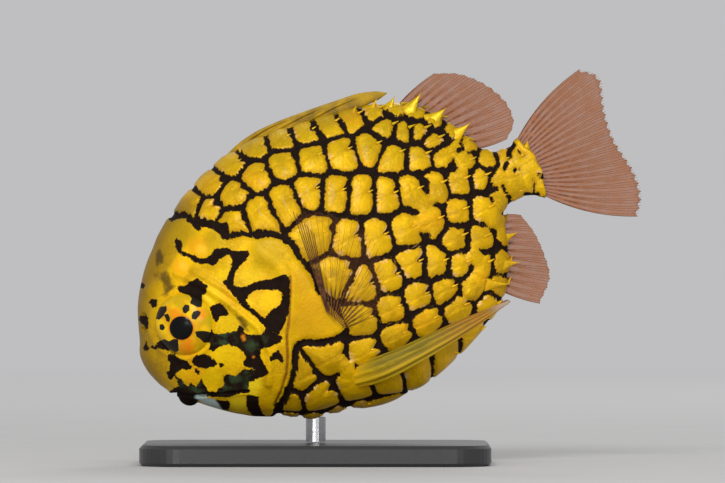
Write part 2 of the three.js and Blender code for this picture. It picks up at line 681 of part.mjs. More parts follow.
const fish = new THREE.Group();
fish.rotation.y = -PITCH;
fish.position.set(FISH_OFFSET_X, 0, BASE.height + FISH_CLEARANCE - LOWEST_FISH_Z);
fish.updateMatrixWorld();

const plateYellow = finish(0xd9b61c, 0.4);
const finBrown = finish(0x8a5a3a, 0.5);
const spineOlive = finish(0x9a8a2a, 0.45);
const eyeGold = finish(0xd08a1a, 0.15);

const headBlock = makeHeadBlock();
const trunkBlock = makeTrunkBlock();
const trunk = makeTrunk(trunkBlock);
const tailStalk = makeTailStalk(trunkBlock);
const sideways = new THREE.Vector3(0, 1, 0);
const up = new THREE.Vector3(0, 0, 1);
const rearAndUp = new THREE.Vector3(0.8, 0, 0.6);
const rearAndDown = new THREE.Vector3(0.8, 0, -0.6);
const rearward = new THREE.Vector3(1, 0, 0);
const outLeft = new THREE.Vector3(0, -1, 0);
const pectoralFace = new THREE.Vector3(0.15, 1, 0.2).normalize();

const pectoral = clearOf(rayFin(PECTORAL, pectoralFace, 5, 1.5), outLeft, trunk);
const pelvicSpine = spine(PELVIC.path, PELVIC.radii, 2 * PELVIC.ridges, 8, 0.8, 0.13);
const pelvic = clearOf(pelvicSpine, outLeft, trunk);
const softDorsal = clearOf(rayFin(SOFT_DORSAL, sideways, 5, 2), rearAndUp, trunk, tailStalk);
const anal = clearOf(rayFin(ANAL, sideways, 5, 2), rearAndDown, trunk, tailStalk);
const spinyDorsal = clearOf(makeSpinyDorsal(), up, trunk);
const tailFin = clearOf(rayFin(CAUDAL, sideways, 6, 0), rearward, tailStalk);

fish.add(
  named("head", makeHead(headBlock), plateYellow),
  named("lower_jaw", makeLowerJaw(headBlock), plateYellow),
  named("eye_left", makeEye(-1), eyeGold),
  named("eye_right", makeEye(1), eyeGold),
  named("trunk", trunk, plateYellow),
  named("tail_stalk", tailStalk, plateYellow),
  named("spiny_dorsal_fin", spinyDorsal, spineOlive),
  named("soft_dorsal_fin", softDorsal, finBrown),
  named("anal_fin", anal, finBrown),
  named("tail_fin", tailFin, finBrown),
  named("pectoral_fin_left", pectoral, finBrown),
  named("pectoral_fin_right", mirrored(pectoral), finBrown),
  named("pelvic_spine_left", pelvic, spineOlive),
  named("pelvic_spine_right", mirrored(pelvic), spineOlive),
);

const bellyAtRod = bodyPoint(ROD_FISH_X, -Math.PI / 2).applyMatrix4(fish.matrixWorld);
const trunkInPlace = trunk.clone().applyMatrix4(fish.matrixWorld);

const model = new THREE.Group();
model.add(
  fish,
  named("stand_base", makeStandBase(bellyAtRod.x), finish(0x2b2b2e, 0.35)),
  named("stand_rod", makeStandRod(trunkInPlace, bellyAtRod.x), finish(0xc8c8cc, 0.25, 1)),
);

export default model;
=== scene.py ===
import math

import bmesh
import bpy
import numpy as np
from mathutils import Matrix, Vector


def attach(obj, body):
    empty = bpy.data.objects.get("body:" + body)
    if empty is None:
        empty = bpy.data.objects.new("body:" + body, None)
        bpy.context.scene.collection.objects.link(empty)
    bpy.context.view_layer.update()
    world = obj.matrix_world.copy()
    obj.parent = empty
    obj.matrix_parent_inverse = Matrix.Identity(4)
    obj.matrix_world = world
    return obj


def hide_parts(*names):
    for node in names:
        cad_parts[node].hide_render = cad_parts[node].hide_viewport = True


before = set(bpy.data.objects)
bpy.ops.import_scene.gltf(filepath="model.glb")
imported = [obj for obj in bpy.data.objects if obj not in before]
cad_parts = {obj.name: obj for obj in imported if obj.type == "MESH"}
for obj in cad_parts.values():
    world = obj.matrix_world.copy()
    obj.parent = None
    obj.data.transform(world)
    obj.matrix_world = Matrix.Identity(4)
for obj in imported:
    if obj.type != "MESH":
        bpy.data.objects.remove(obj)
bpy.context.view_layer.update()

# The fish's own frame: millimetres, x from snout to tail, z up, pitched head down on the stand

MM = 0.001
PITCH = math.radians(27)
FISH_OFFSET = (-54.94, 16.7)         # of the upper lip, along X and Z
AXIS_Z = 8.5
MAX_HALF_WIDTH = 18
FULLNESS = 0.86
STANDARD_LENGTH = 106
PEDUNCLE_X = 94

BACK_HEIGHT = [
    (0, 0), (0.15, 1.6), (0.6, 3), (1.5, 4.6), (3, 8.2), (5, 12.6), (8, 16.9), (12, 21.3), (17.3, 25.4),
    (24, 29.6), (32, 33.2), (40, 35.2), (48, 35.6), (60, 34), (72, 31.6), (80, 29.2), (86, 25.2),
    (90.5, 20), (93, 14.6), (95.5, 9.4), (99, 6.8), (102.5, 6.5), (106, 7.6)]
BELLY_HEIGHT = [
    (0, 0), (0.15, 2), (0.6, 4), (1.5, 6.6), (3, 9), (6, 12.4), (10, 16.6), (15, 20.9), (20, 23.8),
    (25, 26.4), (30, 29.6), (38, 31.4), (48, 34.2), (57, 34.8), (66, 33), (75, 29.9), (82, 26.6),
    (86.5, 22), (90, 16), (92, 9.6), (94.5, 6), (98, 5.3), (102, 6.5), (106, 8.2)]
RELATIVE_WIDTH = [
    (0, 0), (0.15, 0.11), (0.6, 0.21), (1.5, 0.32), (3, 0.43), (6, 0.57), (12, 0.74), (20, 0.885),
    (30, 0.98), (40, 1), (50, 0.95), (60, 0.83), (70, 0.67), (80, 0.49), (88, 0.35), (94, 0.25),
    (100, 0.175), (106, 0.115)]

# Rows of armour plates on a flank: the row's curve, how many plates, and the last step over the first

PLATE_ROWS = [
    ([(27.5, 36.5), (34, 39), (40.5, 41), (48, 42), (59, 40), (71, 38.3), (80, 36.2), (85.2, 33),
      (89.2, 28.2), (91.8, 24.2), (92.9, 20.8)], 14, 0.62),
    ([(30.3, 34.5), (36.5, 35), (44, 36.5), (52, 36), (59.5, 33.5), (72, 30)], 7, 1),
    ([(77.5, 32.4), (81, 29.7), (84.2, 28.1), (86.1, 24.6)], 4, 1),
    ([(76, 25.7), (81.4, 22.6), (86.9, 20.2), (90.5, 16.4)], 4, 0.85),
    ([(34.5, 28.5), (40.5, 28), (54, 27), (60, 23.5), (70.5, 17.5), (81.9, 14.6), (92.6, 11.5)], 11, 0.85),
    ([(51, 17), (59, 11.5), (65.5, 9.5), (76.3, 7.5), (83.6, 6.6), (89.4, 4.3)], 7, 0.85),
    ([(51, 6.5), (55.5, 0.8), (62.6, 0.2), (68.3, 0.4), (78.3, -4.9), (87.5, -9.4)], 8, 0.7),
    ([(80.3, 1.2), (85.1, -1.4), (91.3, -2.8)], 3, 1.1),
    ([(51.5, -6), (58.3, -6.8), (66.9, -7.3), (78, -10.3), (84.8, -13.6)], 6, 0.9),
    ([(32, -12), (38.5, -10.3), (45.5, -13), (56.3, -13.1), (72.5, -13.7), (80.4, -16.9)], 7, 0.9),
    ([(26.6, -14), (33.5, -17), (48, -18.5), (66, -20), (74, -20.6)], 7, 0.9),
    ([(96, 13.9), (99.5, 12.6), (103, 11.6)], 3, 1),
    ([(95.8, 9.3), (99.6, 8.2), (103.2, 7.4)], 3, 1),
    ([(94.6, 5.4), (98.8, 4.6), (102.8, 3.6)], 3, 1),
]
BELLY_RIDGE = (25, 42, 4)

GAPE = [(0, 0.1), (2, -0.3), (4.4, -1.4), (7.8, -3.7), (13.5, -6), (19.6, -8.4)]
EYE = dict(x=13.0, z=12.5, radius=7.6, depth=4.4, sunk=1.0)
CHIN_KNOB = dict(x=5.6, z=-3.7, radius=2.5, height=2.1)
NOSTRILS = [(5.4, 18.4, 0.9), (4.0, 15.6, 0.7)]

# Marks and borders are drawn on side views, each with a corner and a scale on the whole side view,
# which has VIEW_UNIT millimetres to a unit and the upper lip at VIEW_LIP

VIEW_UNIT = 0.24
VIEW_LIP = (160, 395)
HEAD_VIEW = (130, 215, 7.127)
TAIL_VIEW = (380, 80, 7.84)
BELLY_VIEW = (330, 240, 7.84)
BACK_VIEW = (230, 85, 7.84)

# Where the armour's net begins, from the nape down past the pectoral lobe to the throat

ARMOUR_EDGE = [
    (180, -140), (250, -40), (300, 30), (350, 25), (390, 22), (430, 45), (500, 62), (612, 84),
    (640, 118), (690, 170),
    (800, 152), (900, 158), (1010, 150), (1080, 165), (1150, 225), (1190, 300), (1232, 345), (1290, 430),
    (1340, 540), (1412, 612), (1476, 690), (1542, 780), (1518, 832), (1450, 870), (1350, 892),
    (1250, 882), (1205, 905), (1172, 925), (1165, 1000), (1160, 1080), (1150, 1130), (1130, 1200),
    (1090, 1290), (1050, 1350), (1040, 1420), (1000, 1650)]
GILL_OPENING = [
    (1146, 440), (1142, 600), (1134, 760), (1120, 850), (1126, 1000), (1116, 1120), (1082, 1230),
    (1030, 1340)]

# Black marks of the head, as closed outlines

HEAD_MARKS = [
    [(440, 38), (520, 52), (612, 68), (634, 58), (700, 60), (716, 128), (704, 182), (672, 172), (640, 128),
     (600, 102), (500, 80), (440, 62)],
    [(582, 808), (595, 812), (604, 890), (600, 958), (585, 955), (591, 890)],
    [(445, 70), (470, 64), (515, 84), (522, 115), (500, 121), (474, 97)],
    [(300, -10), (334, 0), (328, 40), (312, 62), (296, 40)],
    [(330, 195), (350, 180), (386, 205), (386, 235), (366, 252), (400, 270), (450, 290), (510, 310),
     (560, 310), (585, 290), (610, 255), (640, 238), (690, 240), (760, 262), (856, 265), (845, 302),
     (800, 350), (757, 405), (742, 460), (746, 500), (790, 520), (870, 495), (960, 465), (1030, 455),
     (1086, 428), (1126, 434), (1141, 470), (1140, 600), (1130, 690), (1100, 780), (1060, 830),
     (1000, 825), (930, 745), (870, 690), (830, 665), (790, 620), (740, 555), (690, 500), (668, 478),
     (690, 458), (704, 455), (715, 410), (735, 360), (740, 320), (725, 290), (695, 284), (660, 305),
     (640, 322), (620, 347), (600, 358), (560, 345), (500, 345), (470, 335), (440, 308), (400, 292),
     (370, 277), (350, 255), (344, 225)],
    [(345, 505), (400, 515), (430, 490), (490, 455), (530, 480), (562, 512), (552, 550), (520, 580),
     (522, 620), (514, 656), (480, 652), (438, 627), (445, 590), (430, 570), (400, 560), (365, 545)],
    [(80, 495), (100, 487), (118, 505), (110, 527), (85, 516)],
    [(138, 620), (170, 604), (212, 605), (206, 640), (190, 657), (165, 640)],
    [(73, 745), (85, 725), (120, 718), (146, 735), (152, 800), (130, 814), (105, 782)],
    [(125, 900), (137, 940), (170, 930), (190, 945), (215, 905), (250, 885), (290, 900), (310, 880),
     (346, 885), (352, 960), (330, 977), (290, 960), (240, 950), (215, 940), (180, 950), (150, 945),
     (120, 967), (106, 940)],
    [(288, 983), (340, 1000), (400, 1030), (452, 1070), (440, 1091), (380, 1085), (340, 1110),
     (320, 1140), (295, 1167), (268, 1120), (290, 1100), (300, 1060), (278, 1020)],
    [(454, 1020), (480, 994), (530, 984), (570, 1000), (610, 1030), (632, 1055), (600, 1072),
     (560, 1082), (510, 1081), (463, 1060)],
    [(638, 1046), (670, 1062), (655, 1078)],
    [(468, 1084), (497, 1099), (502, 1128), (478, 1120)],
    [(578, 655), (610, 640), (650, 627), (682, 650), (707, 705), (650, 716), (626, 757), (604, 735),
     (590, 690)],
    [(470, 828), (520, 825), (590, 838), (640, 848), (700, 840), (770, 825), (783, 790), (800, 790),
     (832, 848), (870, 850), (940, 845), (985, 812), (1050, 842), (1092, 858), (1062, 900), (1010, 922),
     (960, 926), (932, 955), (926, 1000), (950, 1040), (980, 1080), (1002, 1100), (950, 1132),
     (934, 1120), (928, 1090), (870, 1082), (830, 1072), (818, 1040), (835, 1010), (820, 970),
     (770, 930), (710, 915), (640, 930), (600, 962), (578, 950), (583, 900), (540, 905), (508, 880),
     (480, 860)],
    [(1028, 970), (1062, 958), (1092, 1000), (1087, 1033), (1050, 1012), (1010, 1020), (1000, 1000)],
    [(330, 1140), (372, 1170), (420, 1222), (442, 1188), (470, 1216), (500, 1192), (514, 1148),
     (530, 1200), (560, 1242), (618, 1252), (640, 1230), (682, 1200), (676, 1138), (700, 1130),
     (760, 1146), (820, 1090), (930, 1100), (952, 1136), (850, 1180), (842, 1240), (700, 1278),
     (560, 1280), (420, 1262), (280, 1262), (300, 1232), (360, 1212)],
    [(616, 1308), (700, 1318), (716, 1342), (700, 1378), (665, 1377), (640, 1345)],
    [(840, 1268), (916, 1275), (916, 1330), (932, 1370), (970, 1440), (880, 1415), (838, 1370),
     (834, 1310)],
    [(345, 1240), (480, 1265), (492, 1310), (450, 1345), (400, 1375), (330, 1350), (300, 1290)],
    [(1030, 1345), (1070, 1330), (1060, 1400), (1100, 1460), (1000, 1440)],
]
MARK_HOLE = [
    (826, 592), (850, 560), (900, 530), (980, 530), (1052, 530), (1087, 550), (1092, 600), (1062, 650),
    (1012, 680), (985, 712), (965, 742), (900, 682), (850, 642)]
DIM_MARKS = [
    [(195, 285), (230, 262), (264, 290), (256, 345), (225, 357), (200, 320)],
    [(190, 430), (240, 414), (290, 440), (320, 480), (342, 520), (300, 542), (265, 562), (255, 520),
     (230, 480)],
    [(755, 710), (800, 724), (840, 780), (846, 817), (815, 801), (780, 760)],
]
EYE_SPOTS = [
    [(185, 722), (195, 680), (225, 650), (264, 650), (262, 682), (245, 712), (210, 744), (190, 742)],
    [(250, 710), (275, 702), (293, 730), (286, 762), (265, 756)],
    [(214, 785), (235, 779), (251, 800), (241, 821), (221, 812)],
    [(380, 665), (400, 640), (425, 644), (426, 675), (405, 699), (384, 691)],
    [(445, 712), (460, 685), (490, 677), (511, 690), (500, 717), (475, 742), (450, 736)],
]
EYE_GLOWS = [(415, 935, 70), (330, 700, 60), (520, 700, 60), (430, 900, 40)]
PUPIL = (372, 803)
PUPIL_RADIUS = 2.85

# Tints of the head: colour, strength, and the patches with middle and radius; the snout's painted shade lies
# along its front line

HEAD_TINTS = [
    # painted shade: olive on the top of the head and the upper gill cover
    ((0.42, 0.27, 0.003), 0.6, [(980, 270, 190), (600, 190, 120), (400, 150, 150)]),
    # lemon; its spot at (760, 1330) is painted light on the lower jaw's underside
    ((0.92, 0.62, 0.003), 0.45, [
        (590, 560, 110), (700, 770, 120), (560, 700, 100), (880, 440, 120), (980, 620, 110), (890, 800, 100),
        (690, 420, 100), (890, 1220, 90), (760, 1330, 90), (680, 980, 130), (590, 1150, 110)]),
    ((0.58, 0.30, 0.002), 0.75, [(1290, 740, 270), (1220, 480, 150), (1100, 990, 80)]),
    ((0.82, 0.33, 0.004), 0.6, [(490, 235, 105), (372, 375, 85), (415, 935, 70)]),
    ((0.94, 0.56, 0.03), 0.7, [(520, 250, 60), (395, 365, 50)]),
    # painted light: lemon on the lower jaw's underside, which lies in shade
    ((0.98, 0.72, 0.02), 0.65, [(770, 1330, 100), (890, 1190, 75), (915, 1130, 60), (880, 1255, 60)])]
# painted shade of the snout: the line along its front, where the surface turns from the light, and its olive
SNOUT_SHADE_LINE = [
    (330, 20), (230, 160), (160, 320), (100, 480), (70, 620), (72, 760), (84, 900), (110, 1050), (170, 1180)]
SNOUT_PAINTED_SHADE = (0.22, 0.125, 0.003)
EMBERS = [(812, 862, 24), (818, 880, 20), (884, 1004, 14)]
GREEN_GLEAMS = [
    (680, 880, 120), (900, 900, 120), (380, 1150, 90), (640, 1200, 90), (740, 1160, 100), (860, 1190, 70),
    (480, 1230, 80), (860, 1120, 60)]
JAW_SHINE = [(468, 1282), (540, 1284), (606, 1304), (630, 1338), (652, 1374), (596, 1360), (530, 1332)]

# Places on the rear flank and the tail stalk where two plates have grown together, and the short
# black strokes that remain there

TAIL_JOINS = [
    (250, 895, 95), (450, 900, 95), (330, 960, 90), (345, 1110, 100), (620, 540, 90), (650, 610, 80),
    (640, 740, 60), (870, 1000, 100), (900, 1100, 80), (1060, 640, 120), (1130, 760, 150), (1010, 800, 110),
    (1180, 640, 110), (960, 720, 50)]
TAIL_STROKES = [
    ([(360, 790), (372, 880)], 20), ([(195, 1000), (285, 1045)], 14), ([(445, 975), (505, 1005)], 13),
    ([(360, 1215), (360, 1290)], 22), ([(1080, 495), (1020, 560), (1020, 600)], 17),
    ([(1105, 545), (1125, 590)], 9), ([(1050, 712), (1085, 705)], 8), ([(1240, 735), (1240, 740)], 9),
    ([(1150, 890), (1210, 900), (1260, 885)], 17), ([(1215, 870), (1225, 810), (1205, 785)], 8),
    ([(1000, 650), (975, 705)], 9), ([(965, 830), (995, 900)], 10), ([(610, 560), (660, 540)], 10),
    ([(695, 570), (750, 560)], 10), ([(630, 500), (645, 455)], 10), ([(870, 930), (880, 955)], 10)]
BELLY_JOINS = [(1160, 300, 80), (1090, 420, 60), (130, 1000, 75), (1130, 130, 70)]


def curve_through(points):
    """A smooth curve through points that never overshoots between them."""
    x, y = np.array(points, float).T
    step = np.diff(x)
    slope = np.diff(y) / step
    tangent = np.empty(len(x))
    tangent[0], tangent[-1] = slope[0], slope[-1]
    product = slope[:-1] * slope[1:]
    total = np.where(slope[:-1] + slope[1:] == 0, 1, slope[:-1] + slope[1:])
    tangent[1:-1] = np.where(product > 0, 2 * product / total, 0)

    def at(value):
        value = np.clip(value, x[0], x[-1])
        i = np.clip(np.searchsorted(x, value, side="right") - 1, 0, len(x) - 2)
        h = step[i]
        t = (value - x[i]) / h
        return (y[i] * (1 + 2 * t) * (1 - t) ** 2 + y[i + 1] * t * t * (3 - 2 * t)
                + h * t * (1 - t) * (tangent[i] * (1 - t) - tangent[i + 1] * t))
    return at


back_height = curve_through(BACK_HEIGHT)
belly_height = curve_through(BELLY_HEIGHT)
relative_width = curve_through(RELATIVE_WIDTH)


def body_point(x, turn):
    """The body's surface: x along the fish, turn around it from the left flank over the back."""
    across, up = np.cos(turn), np.sin(turn)
    height = np.where(up > 0, back_height(x), belly_height(x))
    width = MAX_HALF_WIDTH * relative_width(x)
    return np.stack([x + 0 * turn, -np.sign(across) * width * np.abs(across) ** FULLNESS,
                     AXIS_Z + height * up], -1)


def body_normal(x, turn, step=0.02):
    along = body_point(x + step, turn) - body_point(x - step, turn)
    around = body_point(x, turn + step) - body_point(x, turn - step)
    normal = np.cross(along, around)
    return normal / np.maximum(np.linalg.norm(normal, axis=-1, keepdims=True), 1e-9)


def turn_at(x, z):
    height = np.where(np.asarray(z) > AXIS_Z, back_height(x), belly_height(x))
    return np.arcsin(np.clip((np.asarray(z) - AXIS_Z) / np.maximum(height, 1e-6), -1, 1))


def to_world(points):
    """Fish millimetres to the model's metres."""
    x, y, z = np.asarray(points, float).T
    cos, sin = math.cos(PITCH), math.sin(PITCH)
    return np.stack([FISH_OFFSET[0] + x * cos - z * sin, y, FISH_OFFSET[1] + x * sin + z * cos], -1) * MM


def smooth_line(points, count):
    """Points evenly spaced along a Catmull-Rom curve."""
    p = np.array(points, float)
    q = np.vstack([2 * p[0] - p[1], p, 2 * p[-1] - p[-2]])
    t = np.linspace(0, 1, 24, endpoint=False)[:, None]
    pieces = []
    for a, b, c, d in zip(q, q[1:], q[2:], q[3:]):
        pieces.append(0.5 * (2 * b + (c - a) * t + (2 * a - 5 * b + 4 * c - d) * t ** 2
                             + (3 * b - a - 3 * c + d) * t ** 3))
    line = np.vstack(pieces + [p[-1:]])
    gone = np.concatenate([[0], np.cumsum(np.linalg.norm(np.diff(line, axis=0), axis=1))])
    share = count if isinstance(count, np.ndarray) else np.linspace(0, 1, count)
    return np.stack([np.interp(share * gone[-1], gone, line[:, k]) for k in range(line.shape[1])], 1)


def row_centres(along, count, last):
    steps = np.linspace(1, last, count - 1)
    return smooth_line(along, np.concatenate([[0], np.cumsum(steps)]) / steps.sum())


def on_side(view, points):
    """Points of a drawing in the fish's x and z."""
    left, top, scale = view
    drawn = np.array(points, float)
    across = (left + drawn[:, 0] / scale - VIEW_LIP[0]) * VIEW_UNIT
    up = (VIEW_LIP[1] - top - drawn[:, 1] / scale) * VIEW_UNIT
    cos, sin = math.cos(PITCH), math.sin(PITCH)
    return np.stack([across * cos + up * sin, up * cos - across * sin], 1)


def drawn_length(view, length):
    return length / view[2] * VIEW_UNIT


def path_distance(point, path):
    """Distance to a line of straight stretches."""
    path = np.asarray(path, float)
    nearest = np.full(len(point), np.inf)
    for start, end in zip(path, path[1:]):
        way = end - start
        t = np.clip(((point - start) @ way) / max(way @ way, 1e-9), 0, 1)
        nearest = np.minimum(nearest, np.linalg.norm(point - start - t[:, None] * way, axis=1))
    return nearest


def outline_distance(point, outline):
    """Signed distance to a closed outline, negative inside."""
    corners = np.asarray(outline, float)
    edge = path_distance(point, np.vstack([corners, corners[:1]]))
    x, z = point.T
    inside = np.zeros(len(point), bool)
    for (ax, az), (bx, bz) in zip(corners, np.roll(corners, -1, axis=0)):
        crosses = (az > z) != (bz > z)
        inside ^= crosses & (x < ax + (bx - ax) * (z - az) / (bz - az if bz != az else 1))
    return np.where(inside, -edge, edge)


def smoothstep(value, low, high):
    t = np.clip((value - low) / (high - low), 0, 1)
    return t * t * (3 - 2 * t)


# Shader expressions

class Field:
    """A node socket that takes Python arithmetic."""

    def __init__(self, sheet, socket):
        self.sheet, self.socket = sheet, socket

    def math(self, operation, *others):
        return self.sheet.node("ShaderNodeMath", {"operation": operation}, [self, *others])

    def __add__(self, other): return self.math("ADD", other)
    def __radd__(self, other): return self.math("ADD", other)
    def __sub__(self, other): return self.math("SUBTRACT", other)
    def __mul__(self, other): return self.math("MULTIPLY", other)
    def __rmul__(self, other): return self.math("MULTIPLY", other)
    def maximum(self, other): return self.math("MAXIMUM", other)

    def __rsub__(self, other):
        return self.sheet.node("ShaderNodeMath", {"operation": "SUBTRACT"}, [other, self])


    def ramp(self, low, high, out_low=0.0, out_high=1.0):
        """Smooth step from out_low at low to out_high at high."""
        return self.sheet.node("ShaderNodeMapRange", {"interpolation_type": "SMOOTHSTEP", "clamp": True},
                               {"Value": self, "From Min": low, "From Max": high,
                                "To Min": out_low, "To Max": out_high}, "Result")


class Sheet:
    """One material's node tree."""

    def __init__(self, name):
        self.material = bpy.data.materials.new(name)
        self.material.use_nodes = True
        self.tree = self.material.node_tree
        self.tree.nodes.clear()
        self.coords = None

    def node(self, kind, settings=None, inputs=None, output=0):
        node = self.tree.nodes.new(kind)
        for key, value in (settings or {}).items():
            setattr(node, key, value)
        pairs = inputs.items() if isinstance(inputs, dict) else enumerate(inputs or [])
        for key, value in pairs:
            socket = node.inputs[key]
            if isinstance(value, Field):
                self.tree.links.new(value.socket, socket)
            elif value is not None:
                if socket.type == "RGBA" and len(value) == 3:
                    value = (*value, 1)
                socket.default_value = value
        return Field(self, node.outputs[output])

    def attribute(self, name, output="Fac"):
        return self.node("ShaderNodeAttribute", {"attribute_name": name}, {}, output)

    def place(self):
        if self.coords is None:
            self.coords = self.node("ShaderNodeTexCoord", {}, {}, "Object")
        return self.coords

    def noise(self, scale, detail=2.0, vector=None, roughness=0.5):
        return self.node("ShaderNodeTexNoise", {}, {
            "Vector": vector or self.place(), "Scale": scale, "Detail": detail,
            "Roughness": roughness}, "Fac")

    def cells(self, scale, output="Distance"):
        return self.node("ShaderNodeTexVoronoi", {}, {"Vector": self.place(), "Scale": scale}, output)

    def axis(self, vector, index):
        return self.node("ShaderNodeSeparateXYZ", {}, [vector], index)

    def mix(self, factor, first, second):
        return self.node("ShaderNodeMix", {"data_type": "RGBA"}, {0: factor, 6: first, 7: second}, 2)

    def layers(self, colour, *coats):
        """A colour under coats, each with its share and its own colour."""
        for share, tint in coats:
            colour = self.mix(share, colour, tint)
        return colour

    def bump(self, height, strength, distance):
        return self.node("ShaderNodeBump", {}, {"Height": height, "Strength": strength, "Distance": distance})

    def principled(self, **inputs):
        named = {key.replace("_", " ").title().replace("Ior", "IOR"): value for key, value in inputs.items()}
        return self.node("ShaderNodeBsdfPrincipled", {}, named)

    def finish(self, shader):
        out = self.tree.nodes.new("ShaderNodeOutputMaterial")
        self.tree.links.new(shader.socket, out.inputs["Surface"])
        return self.material

    def grained(self, colour, grain, rough, relief, spread=(0.3, 0.7), **inputs):
        """The finished material, its roughness and its bump both led by one field."""
        return self.finish(self.principled(base_color=colour, roughness=grain.ramp(*spread, *rough),
                                           normal=self.bump(grain, *relief), **inputs))


# Mesh helpers

def add_object(name, data):
    made = bpy.data.objects.new(name, data)
    bpy.context.scene.collection.objects.link(made)
    return made


def add_attributes(mesh, attributes):
    for key, values in attributes.items():
        values = np.asarray(values, float)
        kind, part = ("FLOAT", "value") if values.ndim == 1 else ("FLOAT_VECTOR", "vector")
        mesh.attributes.new(key, kind, "POINT").data.foreach_set(part, values.ravel())


def make_piece(name, points, faces, material, attributes=None, unwrap=None):
    mesh = bpy.data.meshes.new(name)
    mesh.from_pydata(np.asarray(points).tolist(), [], [list(map(int, face)) for face in faces])
    mesh.update()
    add_attributes(mesh, attributes or {})
    if unwrap is not None:
        add_unwrap(mesh, unwrap)
    mesh.materials.append(material)
    mesh.polygons.foreach_set("use_smooth", [True] * len(mesh.polygons))
    return add_object(name, mesh)


def mirrored(points, faces):
    """The same form on the fish's other side."""
    return points * (1, -1, 1), [face[::-1] for face in faces]


def tube_faces(rings, sides):
    """Faces between closed rings of points, one ring after another."""
    k = np.arange(sides)
    after = (k + 1) % sides
    return np.vstack([np.stack([a + k, a + after, a + sides + after, a + sides + k], 1)
                      for a in range(0, (rings - 1) * sides, sides)]).tolist()


def add_unwrap(mesh, places):
    """The bake map, from each point's place round and along the body, joined up over the seam."""
    corners = np.empty(len(mesh.loops), int)
    mesh.loops.foreach_get("vertex_index", corners)
    starts = np.empty(len(mesh.polygons), int)
    mesh.polygons.foreach_get("loop_start", starts)
    uv = np.asarray(places, float)[corners]
    highest = np.maximum.reduceat(uv[:, 0], starts)
    lowest = np.minimum.reduceat(uv[:, 0], starts)
    totals = np.diff(np.append(starts, len(corners)))
    crosses = np.repeat(highest - lowest > 0.5, totals)
    uv[:, 0] += crosses & (uv[:, 0] < 0.5)
    mesh.uv_layers.new(name="OFBake").data.foreach_set("uv", uv.ravel())


def unwrap_place(x, turn):
    return np.stack([np.mod(turn / (2 * math.pi), 1), np.asarray(x) / STANDARD_LENGTH], -1)


def settle(piece, slot, *nodes):
    """Rides the piece on the body and hides the solids it replaces; slot is not used."""
    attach(piece, "root")
    if nodes:
        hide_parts(*nodes)
    return piece


# Armour plates

def plate_centres():
    """Plate centres on both flanks and along the throat."""
    places = []
    for row in PLATE_ROWS:
        x, z = row_centres(*row).T
        left = body_point(x, turn_at(x, z))
        places += [left, left * (1, -1, 1)]
    places.append(body_point(np.linspace(*BELLY_RIDGE), np.full(BELLY_RIDGE[2], -math.pi / 2)))
    return np.vstack(places)


PLATES = plate_centres()
NEAR_PLATES = 6
CORNER_ROUNDING = 0.4
BORDER_SHIFT = 0.06
BATCH = 8000


def plate_fields(points):
    """For each point its nearest plate, and how far it is inside that plate's border."""
    nearest = np.zeros(len(points), int)
    border = np.zeros(len(points))
    for low in range(0, len(points), BATCH):
        part = slice(low, low + BATCH)
        square = ((points[part, None] - PLATES[None]) ** 2).sum(-1)
        order = np.argpartition(square, NEAR_PLATES - 1, axis=1)[:, :NEAR_PLATES]
        near = np.take_along_axis(square, order, 1)
        rank = np.argsort(near, axis=1)
        order = np.take_along_axis(order, rank, 1)
        near = np.take_along_axis(near, rank, 1)
        apart = np.linalg.norm(PLATES[order[:, 1:]] - PLATES[order[:, :1]], axis=2)
        gaps = (near[:, 1:] - near[:, :1]) / (2 * np.maximum(apart, 1e-6))
        closest = gaps.min(axis=1)
        rounded = np.exp((closest[:, None] - gaps) / CORNER_ROUNDING).sum(axis=1)
        nearest[part] = order[:, 0]
        border[part] = np.maximum(closest - CORNER_ROUNDING * np.log(rounded) + BORDER_SHIFT, 0)
    return nearest, border


# Skin

HEAD_RIDGES = [
    ([(3, -0.8), (7.8, -3.4), (13.5, -5.7), (19, -8)], 0.5, 1.1),
    ([(17, 24), (20.5, 20), (24.5, 13), (28.5, 4), (28.5, -3), (25, -9)], 0.9, 0.9),
    ([(21, 22.5), (25.5, 15.5), (30, 6.5)], 0.7, 0.8),
    ([(9, 23.2), (12, 23.6), (15, 24.4), (20.5, 28)], 0.6, 1.2),
    ([(37, 20), (40.1, 14), (40.1, 10), (38.3, 6), (34, 0), (31, -6), (27, -11)], 0.6, 1.8),
]
HEAD_LIFT = 0.45
ORBIT = dict(radius=8.0, breadth=0.7, height=0.5)
MOUTH_DEPTH, MOUTH_END = 1.5, 20.5
GILL_DEPTH = 0.8
SHOULDER_LIFT = 0.35
NOSTRIL_DEPTH = 1.2
PLATE_STEP = 0.5
CROWN_LIFT, STALK_CROWN_LIFT = 0.5, 0.3
NET_HALF_WIDTH = 0.6
FRONT_NET_SHIFT, FRONT_NET_SLOPE = 0.55, 0.75
NOTCH = dict(up=0.3, height=0.6, depth=0.35, spread=1.1)
TAIL_END = dict(start=101, hollow=2.2, scallop=0.5)
TONE_SEED = 11

# The mesh of the skin: steps along it, finer on the head, and points round it from each girth up

FINE_STEP, STEP, FINE_END = 0.37, 0.5, 41
RING_SIDES = ((96, 336), (40, 168), (0, 84))

# The side views are asked only for the head and for the rear, and give FAR elsewhere

HEAD_END, REAR_START, FAR = 48, 60, 9.0


def skin_stations():
    """Stations along the fish, closer together on the head."""
    x = np.concatenate([np.linspace(0.02, 6, 400), np.linspace(6.05, STANDARD_LENGTH, 1200)])
    profile = (back_height(x) + belly_height(x)) / 2
    fineness = np.where(x[1:] < FINE_END, 1 / FINE_STEP, 1 / STEP)
    gone = np.concatenate([[0], np.cumsum(np.hypot(np.diff(x), np.diff(profile)) * fineness)])
    return np.interp(np.arange(0, gone[-1]), gone, x)


def ring_sides(x):
    girth = 1.7 * (back_height(x) + belly_height(x)) + 2 * MAX_HALF_WIDTH * relative_width(x)
    return next(sides for least, sides in RING_SIDES if girth > least)


